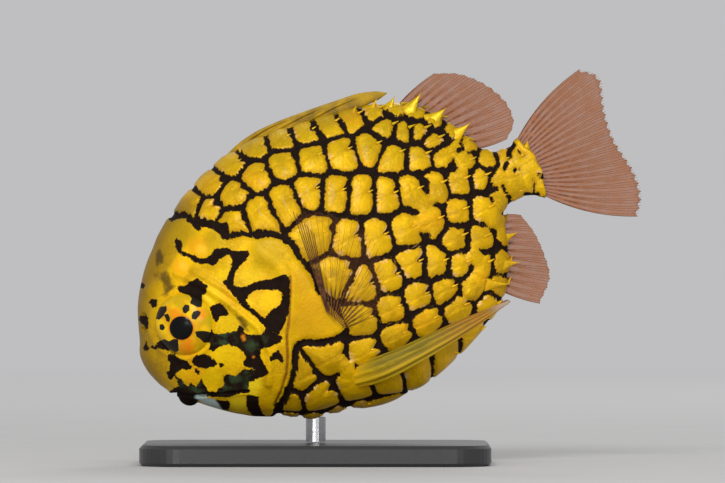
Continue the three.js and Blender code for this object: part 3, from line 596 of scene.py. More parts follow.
def skin_grid():
    """Rings of points whose count halves where the body is thin, and the faces between them."""
    stations = skin_stations()
    sides = [ring_sides(x) for x in stations]
    starts = np.concatenate([[0], np.cumsum(sides)])
    xs = np.concatenate([np.full(n, x) for x, n in zip(stations, sides)])
    turns = np.concatenate([2 * math.pi * np.arange(n) / n for n in sides])
    faces = []
    for ring, (here, ahead) in enumerate(zip(sides, sides[1:])):
        a, b = starts[ring], starts[ring + 1]
        if here == ahead:
            k = np.arange(here)
            after = (k + 1) % here
            faces += np.stack([a + k, a + after, b + after, b + k], 1).tolist()
            continue
        few, many = min(here, ahead), max(here, ahead)
        few_start, many_start = (a, b) if here < ahead else (b, a)
        for k in range(few):
            after, twice = (k + 1) % few, 2 * k
            fan = [(few_start + k, many_start + twice, many_start + twice + 1),
                   (few_start + k, many_start + twice + 1, few_start + after),
                   (few_start + after, many_start + twice + 1, many_start + (twice + 2) % many)]
            faces += [f if here > ahead else f[::-1] for f in fan]
    return xs, turns, faces, (starts[0], sides[0]), (starts[-2], sides[-1])


def marks_distance(flat, view, outlines):
    return np.min([outline_distance(flat, on_side(view, outline)) for outline in outlines], axis=0)


def soft_spots(flat, view, spots):
    """1 in the middle of any spot, fading to 0 at its radius."""
    level = np.zeros(len(flat))
    for u, v, radius in spots:
        middle = on_side(view, [(u, v)])[0]
        away = np.linalg.norm(flat - middle, axis=1) / drawn_length(view, radius)
        level = np.maximum(level, 1 - smoothstep(away, 0.25, 1))
    return level


def side_fields(base):
    """What the side views say about every point of the skin."""
    flat = base[:, [0, 2]]
    on_head, on_rear = flat[:, 0] < HEAD_END, flat[:, 0] > REAR_START
    head, rear = flat[on_head], flat[on_rear]

    def drawn(points):
        return on_side(HEAD_VIEW, points)

    ink = marks_distance(head, HEAD_VIEW, HEAD_MARKS)
    found = {
        "front": (FAR, outline_distance(head, drawn(ARMOUR_EDGE + [(-900, 1650), (-900, -140)]))),
        "ink": (FAR, np.maximum(ink, -outline_distance(head, drawn(MARK_HOLE)))),
        "dim": (FAR, marks_distance(head, HEAD_VIEW, DIM_MARKS)),
        "gill": (FAR, path_distance(head, drawn(GILL_OPENING))),
        "mouth": (FAR, path_distance(head, GAPE)),
        # painted shade along the snout's front
        "snout_shade": (0.0, 1 - smoothstep(path_distance(head, drawn(SNOUT_SHADE_LINE)), 0.3, 7.5)),
        "ember": (0.0, soft_spots(head, HEAD_VIEW, EMBERS)),
        "gleam": (0.0, soft_spots(head, HEAD_VIEW, GREEN_GLEAMS)),
        "shine": (0.0, 1 - smoothstep(outline_distance(head, drawn(JAW_SHINE)), -0.3, 0.4))}
    fields = {}
    for key, (elsewhere, values) in found.items():
        fields[key] = np.full(len(base), elsewhere)
        fields[key][on_head] = values
    for i, (_, _, spots) in enumerate(HEAD_TINTS):
        fields[f"tint{i}"] = np.where(fields["front"] < 0.5, soft_spots(flat, HEAD_VIEW, spots), 0)
    fields["stroke"] = np.full(len(base), FAR)
    for path, breadth in TAIL_STROKES:
        away = path_distance(rear, on_side(TAIL_VIEW, path)) - drawn_length(TAIL_VIEW, breadth)
        fields["stroke"][on_rear] = np.minimum(fields["stroke"][on_rear], away)
    fields["joined"] = np.maximum(soft_spots(flat, BELLY_VIEW, BELLY_JOINS),
                                  soft_spots(flat, TAIL_VIEW, TAIL_JOINS))
    return fields


def skin_relief(base, fields, border):
    """How far the skin stands off the body's outline."""
    flat = base[:, [0, 2]]
    front = fields["front"]
    ridges = np.max([height * np.exp(-(path_distance(flat, path) / breadth) ** 2)
                     for path, height, breadth in HEAD_RIDGES], axis=0)
    rim = np.abs(np.hypot(flat[:, 0] - EYE["x"], flat[:, 1] - EYE["z"]) - ORBIT["radius"])
    flank = smoothstep(np.abs(base[:, 1]), 4, 9)
    ridges = np.maximum(ridges, ORBIT["height"] * flank * np.exp(-(rim / ORBIT["breadth"]) ** 2))
    slit = -MOUTH_DEPTH * (1 - smoothstep(fields["mouth"], 0.1, 0.45)) * (flat[:, 0] < MOUTH_END)
    opening = -GILL_DEPTH * (1 - smoothstep(fields["gill"], 0.1, 0.4))
    shoulder = SHOULDER_LIFT * smoothstep(-front, 0, 1.2) * (1 - smoothstep(-front, 5, 9))
    smooth = HEAD_LIFT + shoulder + ridges + slit + opening
    for x, z, radius in NOSTRILS:
        away = np.hypot(flat[:, 0] - x, flat[:, 1] - z)
        pit = NOSTRIL_DEPTH * (1 - smoothstep(away, 0.2 * radius, radius))
        smooth = smooth - pit * (np.abs(base[:, 1]) > 1)
    crown = np.where(base[:, 0] > PEDUNCLE_X, STALK_CROWN_LIFT, CROWN_LIFT)
    plate = PLATE_STEP * smoothstep(border, 0.35, 0.9) + crown * smoothstep(border, 0.6, 3.8)
    inside = smoothstep(-front, -0.15, 0.5)
    return inside * smooth + (1 - inside) * plate


def chin_knob(base):
    """Height of the round knob in front of the lower jaw, and where it is black."""
    middle = np.array([CHIN_KNOB["x"], 0, CHIN_KNOB["z"]])
    away = np.linalg.norm(base - middle, axis=1) / CHIN_KNOB["radius"]
    return CHIN_KNOB["height"] * np.sqrt(np.clip(1 - away ** 2, 0, 1)), away < 1.15


def keel_notch(local, tone, x):
    """The bite of the net into a plate's hind edge, just above the end of its keel."""
    bite = np.exp(-((local[:, 2] - NOTCH["up"]) / NOTCH["height"]) ** 2) * smoothstep(local[:, 0], 0.4, 1.5)
    return bite * (NOTCH["depth"] + NOTCH["spread"] * tone) * (1 - 0.75 * smoothstep(x, 66, 82))


def net_border(border, fields, x):
    """The plates' border with notches, grown-together plates, strokes and the armour's front edge."""
    border = np.maximum(border - keel_notch(fields["local"], fields["tone"], x), 0)
    joined, stroke = fields.pop("joined"), fields.pop("stroke")
    border = np.where(joined > 0, border + 2.5 * joined ** 0.7, border)
    border = np.minimum(border, np.maximum(stroke + NET_HALF_WIDTH, 0))
    ahead = (fields["front"] - FRONT_NET_SHIFT) * FRONT_NET_SLOPE
    return np.where(ahead > 0, np.minimum(border, ahead), -ahead)


def make_skin(material):
    xs, turns, faces, first, last = skin_grid()
    base = body_point(xs, turns)
    normal = body_normal(np.clip(xs, 0.05, STANDARD_LENGTH - 0.05), turns)
    fields = side_fields(base)
    nearest, border = plate_fields(base)
    fields["local"] = base - PLATES[nearest]
    fields["tone"] = np.random.default_rng(TONE_SEED).random(len(PLATES))[nearest]
    fields["border"] = net_border(border, fields, xs)
    lift = skin_relief(base, fields, fields["border"])
    height, knob = chin_knob(base)
    points = base + normal * np.where(height > 0, np.maximum(lift, height), lift)[:, None]
    up = np.sin(turns)
    drawn_in = TAIL_END["hollow"] * up ** 2 - TAIL_END["scallop"] * np.abs(np.sin(5 * up))
    points[:, 0] -= smoothstep(xs, TAIL_END["start"], STANDARD_LENGTH) * drawn_in
    fields["ink"] = np.where(knob, -1, fields["ink"])
    unwrap = unwrap_place(xs, turns)
    for (start, sides), flip in ((first, True), (last, False)):
        points = np.vstack([points, points[start:start + sides].mean(0)])
        for key, values in fields.items():
            fields[key] = np.concatenate([values, values[start:start + 1]])
        unwrap = np.vstack([unwrap, unwrap[start:start + 1]])
        k = np.arange(sides)
        ring = np.stack([np.full(sides, len(points) - 1), start + k, start + (k + 1) % sides], 1)
        faces += (ring[:, ::-1] if flip else ring).tolist()
    return make_piece("fish_skin", to_world(points), faces, material, fields, unwrap)


NET_BLACK = ((0.004, 0.002, 0.0015), (0.018, 0.007, 0.003))
PLATE_YELLOW = ((0.54, 0.30, 0.001), (0.82, 0.47, 0.001))
LIGHT_YELLOW = (0.90, 0.52, 0.001)
# painted shade: olive on the upper body, which turns away from the light
TOP_PAINTED_SHADE = (0.44, 0.32, 0.001)
ORANGE_FLUSH = (0.86, 0.36, 0.002)
GOLD_GRAIN = (0.96, 0.66, 0.01)
RIM_BROWN = (0.58, 0.30, 0.002)
KEEL_SHADE = (0.50, 0.24, 0.002)
STREAK_OLIVE = (0.50, 0.29, 0.001)
# painted highlight: pale pinkish glints on the rims of some plates
RIM_PAINTED_GLINT = (0.92, 0.58, 0.26)
GILL_BROWN = (0.20, 0.06, 0.006)
DIM_BROWN = (0.07, 0.04, 0.006)
GLEAM_GREEN = (0.035, 0.055, 0.022)
JAW_WHITE = (0.66, 0.84, 0.80)
EMBER_ORANGE = (0.80, 0.26, 0.008)


def armour_yellow(s, tone):
    """Yellow enamel of the plates, cloudy, with gold grains, and painted shade that makes it more olive
    towards the back.
    """
    height = s.axis(s.place(), 2)
    grains = s.node("ShaderNodeSeparateColor", {}, [s.cells(3000, "Color")])
    return s.layers(
        s.mix(s.noise(170, 3).ramp(0.34, 0.66), *PLATE_YELLOW),
        (tone.ramp(0.3, 1, 0, 0.5), LIGHT_YELLOW),
        # painted shade: olive laid on by height, more of it towards the top
        ((height + (s.noise(45, 2) - 0.5) * 0.03).ramp(0.062, 0.09, 0, 0.6), TOP_PAINTED_SHADE),
        (s.noise(95, 2, roughness=0.3).ramp(0.56, 0.7, 0, 0.45), ORANGE_FLUSH),
        (grains.ramp(0.7, 0.95, 0, 0.3), GOLD_GRAIN))


def skin_material():
    """Plates, net and keels on the flanks, and the marks, tints and openings of the head."""
    s = Sheet("armour_skin")
    border, tone, local = s.attribute("border"), s.attribute("tone"), s.attribute("local", "Vector")
    on_head = s.attribute("front").ramp(-0.3, 0.3, 1, 0)
    on_flank = 1 - on_head
    around = s.node("ShaderNodeVectorMath", {"operation": "NORMALIZE"}, [local])
    streaks = s.noise(19, 3, around, 0.7)
    broad = s.noise(2.4, 1, around)
    ragged = s.noise(1000, 4, roughness=0.7) - 0.5
    wander = s.noise(210, 1) - 0.5
    net = border + ragged * 0.8 + (streaks - 0.5) * 1.05 + (broad - 0.5) * 1.1 + wander * 0.9
    marks = (s.attribute("ink") + (s.noise(760, 5, roughness=0.8) - 0.5) * 1.9).ramp(0.06, 0.18, 1, 0)
    lips = (s.attribute("mouth") + ragged * 0.8).ramp(0.35, 0.55, 1, 0)
    black = net.ramp(0.62, 0.73, 1, 0).maximum(marks).maximum(lips)
    beside = s.axis(local, 2) + wander * 1.4
    keel = (beside * beside).ramp(0, 0.35, 1, 0) * border.ramp(0.5, 1.2)
    under_keel = (beside + 0.35).ramp(0, 0.3) * beside.ramp(-0.1, 0.5, 1, 0) * border.ramp(0.6, 1.4)
    # painted highlight: pale pinkish glints near the borders of some plates
    rim_glint = border.ramp(0.8, 1.6, 1, 0) * broad.ramp(0.55, 0.65, 0, 0.5) * tone.ramp(0.45, 0.7)
    ink = s.mix(s.noise(700, 2), *NET_BLACK)
    colour = s.layers(
        armour_yellow(s, tone),
        (border.ramp(0.6, 1.9, 0.6, 0) * on_flank, RIM_BROWN),
        (under_keel * on_flank * 0.28, KEEL_SHADE),
        (streaks.ramp(0.42, 0.62, 0.35, 0) * on_flank, STREAK_OLIVE),
        (rim_glint * on_flank, RIM_PAINTED_GLINT),
        # painted shade: olive along the snout's front
        (s.attribute("snout_shade") * 0.85, SNOUT_PAINTED_SHADE),
        # the head's tints, the first of them painted shade and the last painted light
        *((s.attribute(f"tint{i}") * strength, tint) for i, (tint, strength, _) in enumerate(HEAD_TINTS)),
        ((s.attribute("gill") + ragged * 0.3).ramp(0.08, 0.5, 0.85, 0), GILL_BROWN),
        ((s.attribute("dim") + (s.noise(330, 5) - 0.5) * 4.5).ramp(-0.8, 0.7, 0.85, 0), DIM_BROWN),
        (black, s.mix(s.attribute("gleam") * s.noise(500, 3).ramp(0.4, 0.65), ink, GLEAM_GREEN)),
        (s.attribute("shine"), JAW_WHITE),
        (s.attribute("ember") * 0.75, EMBER_ORANGE))
    fine = s.noise(2200, 3)
    height = s.cells(1300) * 0.4 + fine * 0.5 + (streaks * 0.9 + keel * 0.5) * on_flank
    rough = fine.ramp(0.3, 0.7, 0.3, 0.44) + black * 0.35 + on_head * 0.1
    shine = (1 - black) * (1 - on_head * 0.7)
    return s.finish(s.principled(
        base_color=colour, roughness=rough, specular_ior_level=0.1, coat_weight=shine * 0.1,
        coat_roughness=0.22, metallic=shine * 0.32, normal=s.bump(height, 0.5, 0.0003)))


# Thorns of the plates

RIM_THORNS = [
    (BACK_VIEW, (95, 520), (55, 488), 30), (BACK_VIEW, (560, 380), (596, 320), 50),
    (BACK_VIEW, (790, 320), (856, 250), 60), (BACK_VIEW, (930, 260), (990, 158), 56),
    (BACK_VIEW, (1075, 220), (1152, 104), 62),
    (TAIL_VIEW, (50, 235), (118, 122), 66), (TAIL_VIEW, (205, 265), (326, 94), 84),
    (TAIL_VIEW, (385, 335), (522, 214), 92), (TAIL_VIEW, (570, 445), (712, 334), 74),
    (TAIL_VIEW, (660, 510), (708, 440), 36), (TAIL_VIEW, (975, 1250), (1082, 1194), 52),
    (TAIL_VIEW, (1150, 530), (1165, 470), 30), (TAIL_VIEW, (1230, 900), (1305, 925), 34),
    (BELLY_VIEW, (1310, 200), (1492, 174), 78), (BELLY_VIEW, (1190, 350), (1412, 346), 66),
    (BELLY_VIEW, (1270, 525), (1405, 505), 48), (BELLY_VIEW, (900, 890), (1034, 890), 70),
    (BELLY_VIEW, (1120, 650), (1200, 682), 50), (BELLY_VIEW, (690, 1080), (752, 1120), 60)]


THORN_DEPTH, THORN_SUNK, THORN_LEAN, THORN_SPREAD = 0.5, 0.5, 0.8, 1.15
TIP_RADIUS = 0.04
BAKE_PATCH = 0.003


def thorn_mesh(root, tip, outward, breadth, rings=9, sides=10):
    """A flattened thorn with hollowed flanks, from its root to its tip."""
    share = np.linspace(0, 1, rings)
    ahead = (tip - root) / np.linalg.norm(tip - root)
    side = np.cross(ahead, outward)
    side /= np.linalg.norm(side)
    up = np.cross(side, ahead)
    angle = 2 * math.pi * np.arange(sides) / sides
    wide = breadth * (1 - share) ** 1.5 + TIP_RADIUS
    high = THORN_DEPTH * (1 - share) ** 0.9 + TIP_RADIUS
    centre = root + (tip - root) * share[:, None]
    points = (centre[:, None] + side * (wide[:, None] * np.cos(angle))[..., None]
              + up * (high[:, None] * np.sin(angle))[..., None]).reshape(-1, 3)
    k = np.arange(sides)
    faces = tube_faces(rings, sides) + [list(k[::-1]), list((rings - 1) * sides + k)]
    patch = np.stack([np.tile(k / sides, rings), np.repeat(share, sides)], 1)
    return points, faces, patch


def rim_thorns(material):
    """Long thorns of the plates along the rear rim, on both flanks."""
    points, faces, places = [], [], []
    total = 0
    for view, root, tip, breadth in RIM_THORNS:
        (x, z), (tip_x, tip_z) = on_side(view, [root, tip])
        turn = float(turn_at(x, z))
        outward = body_normal(np.array([x]), np.array([turn]))[0]
        start = body_point(np.array([x]), np.array([turn]))[0] - outward * THORN_SUNK
        end = np.array([tip_x, start[1] * THORN_LEAN, tip_z])
        for side in (1, -1):
            flip = np.array([1, side, 1])
            made, sheets, patch = thorn_mesh(start * flip, end * flip, outward * flip,
                                             drawn_length(view, breadth) * THORN_SPREAD)
            points.append(made)
            faces += [[total + i for i in face] for face in sheets]
            places.append(unwrap_place(x, turn if side > 0 else math.pi - turn) + patch * BAKE_PATCH)
            total += len(made)
    return make_piece("rim_thorns", to_world(np.vstack(points)), faces, material, None, np.vstack(places))


def thorn_material():
    s = Sheet("thorn_enamel")
    fine = s.noise(1500, 3)
    return s.grained(armour_yellow(s, fine), fine, (0.3, 0.45), (0.3, 0.0002),
                     specular_ior_level=0.25, metallic=0.3)


class Growth:
    """A Geometry Nodes tree with named inputs, whose result is real geometry in its finish."""

    def __init__(self, name, **inputs):
        self.tree = bpy.data.node_groups.new(name, "GeometryNodeTree")
        face = self.tree.interface
        face.new_socket("Geometry", in_out="INPUT", socket_type="NodeSocketGeometry")
        self.identifiers = {
            key: face.new_socket(key, in_out="INPUT", socket_type="NodeSocket" + kind).identifier
            for key, kind in inputs.items()}
        face.new_socket("Geometry", in_out="OUTPUT", socket_type="NodeSocketGeometry")
        self.given = self.node("NodeGroupInput", {})

    def node(self, kind, inputs, **settings):
        made = self.tree.nodes.new(kind)
        for key, value in settings.items():
            setattr(made, key, value)
        for key, value in inputs.items():
            if isinstance(value, bpy.types.NodeSocket):
                self.tree.links.new(value, made.inputs[key])
            else:
                made.inputs[key].default_value = value
        return made.outputs

    def attribute(self, name, kind="FLOAT"):
        return self.node("GeometryNodeInputNamedAttribute", {"Name": name}, data_type=kind)["Attribute"]

    def finish(self, geometry):
        real = self.node("GeometryNodeRealizeInstances", {0: geometry})[0]
        painted = self.node("GeometryNodeSetMaterial", {"Geometry": real, "Material": self.given["Finish"]})
        self.node("NodeGroupOutput", {"Geometry": painted[0]})

    def grow(self, name, mesh, **values):
        """The plain piece that the tree makes from a mesh."""
        piece = add_object(name, mesh)
        modifier = piece.modifiers.new(name, "NODES")
        modifier.node_group = self.tree
        for key, value in values.items():
            modifier[self.identifiers[key]] = value
        evaluated = piece.evaluated_get(bpy.context.evaluated_depsgraph_get())
        result = bpy.data.meshes.new_from_object(evaluated)
        piece.modifiers.clear()
        piece.data = result
        return piece


def keel_growth():
    """Sets a small cone on every point, aimed and sized by the point."""
    growth = Growth("keel_points", Sides="Int", Slimness="Float", Finish="Material")
    cone = growth.node("GeometryNodeMeshCone", {
        "Vertices": growth.given["Sides"], "Side Segments": 2, "Radius Top": TIP_RADIUS,
        "Radius Bottom": growth.given["Slimness"], "Depth": 1})
    aim = growth.node("FunctionNodeAlignRotationToVector", {
        "Vector": growth.attribute("aim", "FLOAT_VECTOR")}, axis="Z")
    place = growth.node("GeometryNodeInstanceOnPoints", {
        "Points": growth.given["Geometry"], "Instance": cone["Mesh"], "Rotation": aim["Rotation"],
        "Scale": growth.attribute("size")})
    index = growth.node("GeometryNodeInputIndex", {})
    keep = growth.node("GeometryNodeStoreNamedAttribute", {
        "Geometry": place["Instances"], "Name": "root", "Value": index["Index"]},
        data_type="INT", domain="INSTANCE")
    growth.finish(keep["Geometry"])
    return growth


# Along the fish: how far behind a plate's middle its keel's point sits, and how long it is

KEEL_X = [25, 60, 80, 92, 94, 106]
KEEL_SETBACK = [1.6, 2.0, 1.8, 1.3, 0.7, 0.6]
KEEL_LENGTH = [0.7, 1.1, 1.8, 2.0, 0.9, 0.6]
KEEL_SIDES, KEEL_SLIMNESS = 8, 0.24
KEEL_RISE, KEEL_STAND_OFF, KEEL_SUNK = 0.3, 0.62, 0.2


def keel_points(material):
    """The small rearward point at the hind end of each plate's keel."""
    x, y, z = PLATES.T
    size = np.interp(x, KEEL_X, KEEL_LENGTH)
    place_x = np.clip(x + np.interp(x, KEEL_X, KEEL_SETBACK), 0, STANDARD_LENGTH - 0.5)
    turn = np.where(y < 0, turn_at(place_x, z), math.pi - turn_at(place_x, z))
    outward = body_normal(place_x, turn)
    aim = np.array([1.0, 0, 0]) - outward * outward[:, :1]
    aim /= np.linalg.norm(aim, axis=1, keepdims=True)
    aim = aim + outward * KEEL_RISE
    aim /= np.linalg.norm(aim, axis=1, keepdims=True)
    root = body_point(place_x, turn) + outward * KEEL_STAND_OFF - aim * size[:, None] * KEEL_SUNK
    mesh = bpy.data.meshes.new("keel_places")
    mesh.from_pydata(to_world(root).tolist(), [], [])
    add_attributes(mesh, {"aim": to_world(root + aim) - to_world(root), "size": size * MM})
    piece = keel_growth().grow("keel_points", mesh, Sides=KEEL_SIDES, Slimness=KEEL_SLIMNESS, Finish=material)
    cones = piece.data
    owner = np.empty(len(cones.vertices), int)
    cones.attributes["root"].data.foreach_get("value", owner)
    spread = np.empty(len(cones.vertices) * 3)
    cones.vertices.foreach_get("co", spread)
    spread = (spread.reshape(-1, 3) - to_world(root)[owner]) / (size * MM)[owner, None]
    places = unwrap_place(place_x, turn)[owner] + (spread[:, [0, 2]] * 0.4 + 0.5) * BAKE_PATCH
    for layer in list(cones.uv_layers):
        cones.uv_layers.remove(layer)
    add_unwrap(cones, places)
    return piece


# Fins, as in the solids: where each grows and its free margin

FINS = {
    "soft_dorsal_fin": dict(
        root=[(83.5, 0, 36.5), (87.7, 0, 33), (91.5, 0, 28), (93.8, 0, 22), (93.4, 0, 18.6)],
        margin=[(94, 0, 39), (99, 0, 36.4), (102.8, 0, 32.5), (105.2, 0, 28.4), (106.4, 0, 24),
                (105.6, 0, 19.6), (102.4, 0, 17)], rays=13, bow=0.4, branches=3, sunk=0.14),
    "anal_fin": dict(
        root=[(91.8, 0, 1.2), (90.6, 0, -2.6), (89, 0, -6.6), (86.8, 0, -10.6), (84, 0, -14.4)],
        margin=[(97, 0, -1), (98, 0, -6), (97.8, 0, -12), (96.4, 0, -17.6), (91.4, 0, -22)],
        rays=12, bow=0.4, branches=3, sunk=0.14),
    "tail_fin": dict(
        root=[(104, 0, 15.4), (104, 0, 11), (104, 0, 5.6), (104, 0, 1)],
        margin=[(125.6, 0, 24), (129, 0, 20), (126.6, 0, 12.4), (125.4, 0, 5), (126.2, 0, -4),
                (125, 0, -10.1), (122, 0, -14)], rays=21, bow=1.5, branches=3, sunk=0.05),
    "pectoral_fin": dict(
        root=[(45, -19.2, 0.6), (46.2, -19.6, -1.6), (46.9, -19.4, -4), (47, -18.6, -5.8)],
        margin=[(48.6, -22, 25), (57, -23.5, 20), (62.5, -23.5, 11), (61, -24, 1), (55, -23.5, -6.5)],
        rays=14, bow=0, branches=2, sunk=0.04),
}

FIN_WAVE, MARGIN_SCALLOP = 0.35, 0.035
WEB_HALF_THICKNESS = 0.08
RAY_THICKNESS, LEADING_THICKNESS = (0.12, 0.07), (0.15, 0.08)  # at the root, and lost to the tip
LEADING_RAYS, LEADING_BREADTH = 7, 0.1
LINE_STEPS = 24


def fin_point(fin, across, along):
    """A place on the fin: across from its first ray to its last, along from root to margin."""
    root = smooth_line(fin["root"], across)
    way = smooth_line(fin["margin"], across) - root
    upward = np.cross(way, (0.0, 1.0, 0.0))
    upward /= np.linalg.norm(upward, axis=1, keepdims=True)
    bow = fin["bow"] * 4 * along * (1 - along) * (1 - 2 * across)
    point = root + way * along[:, None] + upward * bow[:, None]
    point[:, 1] += FIN_WAVE * along * np.sin(9 * across + 2 * along)
    return point


def fin_web(name, fin, material, mirror=False):
    """The thin skin between the rays."""
    columns, rows = fin["rays"] * 8, 26
    across = np.repeat(np.linspace(0, 1, columns), rows)
    reach = 1 - MARGIN_SCALLOP * np.abs(np.sin(np.pi * across * (fin["rays"] - 1))) ** 0.8
    along = np.tile(np.linspace(-fin["sunk"], 1, rows), columns) * reach
    middle = fin_point(fin, across, along)
    faces = []
    total = len(middle)
    for c in range(columns - 1):
        k = np.arange(rows - 1) + c * rows
        faces += np.stack([k, k + rows, k + rows + 1, k + 1], 1).tolist()
        faces += np.stack([k + total, k + total + 1, k + total + rows + 1, k + total + rows], 1).tolist()
    rim = ([c * rows for c in range(columns)] + [(columns - 1) * rows + r for r in range(1, rows)]
           + [c * rows + rows - 1 for c in range(columns - 2, -1, -1)] + list(range(rows - 2, 0, -1)))
    faces += [[b, a, a + total, b + total] for a, b in zip(rim, rim[1:] + rim[:1])]
    half = (0, WEB_HALF_THICKNESS, 0)
    points = np.vstack([middle - half, middle + half])
    if mirror:
        points, faces = mirrored(points, faces)
    fields = {"along": np.tile(along, 2), "across": np.tile(across, 2)}
    return make_piece(name, to_world(points), faces, material, fields)


def fin_rays(fin, mirror=False):
    """Centre lines of the rays and their branches, with a thickness at each point."""
    lines = []
    spacing = 1 / (fin["rays"] - 1)
    twigs = fin["branches"]
    along = np.linspace(-fin["sunk"], 0.995, LINE_STEPS)
    spread = 0.12 + 0.88 * np.clip(along, 0, 1) ** 0.85
    thick = RAY_THICKNESS[0] - RAY_THICKNESS[1] * along
    for ray in range(fin["rays"]):
        for twig in range(twigs):
            aside = (twig - (twigs - 1) / 2) / twigs * spacing
            across = np.clip(ray * spacing + aside * spread, 0, 1)
            lines.append((fin_point(fin, across, along) * (1, -1 if mirror else 1, 1), thick))
    return lines


def leading_rays(fin, mirror=False):
    """The close dark rays at the fin's front edge."""
    lines = []
    for across in np.linspace(0, LEADING_BREADTH, LEADING_RAYS):
        along = np.linspace(-0.03, 0.99 - 2.2 * across, LINE_STEPS)
        points = fin_point(fin, np.full(LINE_STEPS, across), along) * (1, -1 if mirror else 1, 1)
        lines.append((points, LEADING_THICKNESS[0] - LEADING_THICKNESS[1] * along))
    return lines


def rod_growth():
    """Turns lines with a thickness into closed tapered rods."""
    growth = Growth("tapered_rods", Sides="Int", Finish="Material")
    thick = growth.attribute("thick")
    line = growth.node("GeometryNodeMeshToCurve", {0: growth.given["Geometry"]})
    line = growth.node("GeometryNodeSetCurveRadius", {"Curve": line[0], "Radius": thick})
    ring = growth.node("GeometryNodeCurvePrimitiveCircle", {
        "Resolution": growth.given["Sides"], "Radius": 1.0}, mode="RADIUS")
    rod = growth.node("GeometryNodeCurveToMesh", {
        "Curve": line[0], "Profile Curve": ring[0], "Scale": thick, "Fill Caps": True})
    smooth = growth.node("GeometryNodeSetShadeSmooth", {"Geometry": rod[0]})
    growth.finish(smooth[0])
    return growth


ROD_GROWTH = rod_growth()


def rods(name, lines, material, sides=6):
    """Closed tapered rods along lines of fish points with a radius in millimetres at each."""
    edges, start = [], 0
    for line, _ in lines:
        edges += [(k, k + 1) for k in range(start, start + len(line) - 1)]
        start += len(line)
    mesh = bpy.data.meshes.new(name + "_lines")
    mesh.from_pydata(np.vstack([to_world(line) for line, _ in lines]).tolist(), edges, [])
    add_attributes(mesh, {"thick": np.concatenate([radius for _, radius in lines]) * MM})
    return ROD_GROWTH.grow(name, mesh, Sides=sides, Finish=material)


WEB_BROWN = ((0.24, 0.065, 0.014), (0.42, 0.15, 0.04))
RAY_BROWN = ((0.13, 0.03, 0.01), (0.36, 0.13, 0.05))
LEADING_BROWN = ((0.03, 0.009, 0.004), (0.16, 0.05, 0.015))
PECTORAL_BROWN = ((0.05, 0.015, 0.005), (0.22, 0.09, 0.02))
PECTORAL_ROOT = (46, 0, -3)


def ray_material(name, dark, light, root=None):
    """Rays that are banded, and clearer away from the root where one is given in fish millimetres."""
    s = Sheet(name)
    bands = s.noise(900, 3)
    alpha = 1.0
    if root:
        x, y, z = to_world([root])[0]
        ahead, up = s.axis(s.place(), 0) - x, s.axis(s.place(), 2) - z
        alpha = (ahead * ahead + up * up).ramp(0.003 ** 2, 0.0085 ** 2, 0.95, 0.22)
    return s.grained(s.mix(bands.ramp(0.35, 0.7), dark, light), bands, (0.4, 0.6), (0.2, 0.0001),
                     alpha=alpha, specular_ior_level=0.3)


def web_material(name, thin, thick):
    """Clear fin skin with faint streaks, from thin to thick in its alpha."""
    s = Sheet(name)
    streak = s.noise(60, 3, s.node("ShaderNodeCombineXYZ", {}, [s.attribute("across") * 4.0,
                                                               s.attribute("along") * 0.12, 0.0]))
    alpha = (streak * 0.6 + s.noise(300, 2) * 0.4).ramp(0.3, 0.7, thin, thick)
    return s.finish(s.principled(base_color=s.mix(streak, *WEB_BROWN), roughness=0.5, alpha=alpha,
                                 specular_ior_level=0.2, normal=s.bump(streak, 0.2, 0.0001)))


# Spines

SPINY_DORSAL = dict(start=38, end=81.5, spines=6, length=17)
FILM_LIFT = [-0.6, 0, 0.35, 0.6, 0.9, 1.15, 1.5, 2.1, 3]
FILM_RADII = [(0, 0.2), (0.06, 0.9), (0.2, 1.5), (0.5, 1.85), (0.8, 1.85), (0.94, 1.1), (1, 0.1)]
PELVIC_PATH = [(41.5, -9.4, -17), (52, -15.1, -18.5), (66, -14.4, -18.6), (85, -10.6, -18)]
PELVIC_RADII = [
    (0, 0.3), (0.012, 1.5), (0.035, 2.3), (0.08, 2.9), (0.2, 3.15), (0.4, 2.8), (0.667, 2.1), (1, 0.3)]


def fluted_spine(name, path, radii, material, ribs, flatten, mirror=False, steps=90, sides=72, depth=0.14):
    """A tapered bony spine with lengthwise ribs."""
    share = np.linspace(0, 1, steps) ** 1.25
    centre = smooth_line(path, share)
    ahead = np.gradient(centre, axis=0)
    ahead /= np.linalg.norm(ahead, axis=1, keepdims=True)
    up = np.array([0.0, 0.0, 1.0]) - ahead * ahead[:, 2:3]
    up /= np.linalg.norm(up, axis=1, keepdims=True)
    aside = np.cross(ahead, up)
    radius = curve_through(radii)(share)
    angle = 2 * math.pi * np.arange(sides) / sides
    rib = 1 - depth * (0.5 - 0.5 * np.cos(angle * ribs)) ** 0.7
    reach = radius[:, None] * rib[None]
    points = (centre[:, None] + up[:, None] * (reach * np.cos(angle))[..., None]
              + aside[:, None] * (reach * flatten * np.sin(angle))[..., None]).reshape(-1, 3)
    k = np.arange(sides)
    points = np.vstack([points, centre[:1], centre[-1:]])
    last = (steps - 1) * sides
    faces = tube_faces(steps, sides)
    faces += np.stack([np.full(sides, len(points) - 2), (k + 1) % sides, k], 1).tolist()
    faces += np.stack([np.full(sides, len(points) - 1), last + k, last + (k + 1) % sides], 1).tolist()
    if mirror:
        points, faces = mirrored(points, faces)
    fields = {"along": np.concatenate([np.repeat(share, sides), [0, 1]]),
              "around": np.concatenate([np.tile(np.sin(angle), steps), [0, 0]]),
              "upward": np.concatenate([np.tile(np.cos(angle), steps), [0, 0]]),
              "groove": np.concatenate([np.tile((1 - rib) / depth, steps), [0, 0]])}
    return make_piece(name, to_world(points), faces, material, fields)


BONE_OLIVE = ((0.13, 0.105, 0.003), (0.42, 0.29, 0.004))
BONE_LOWER, BONE_FLUSH = (0.56, 0.35, 0.002), (0.50, 0.15, 0.02)
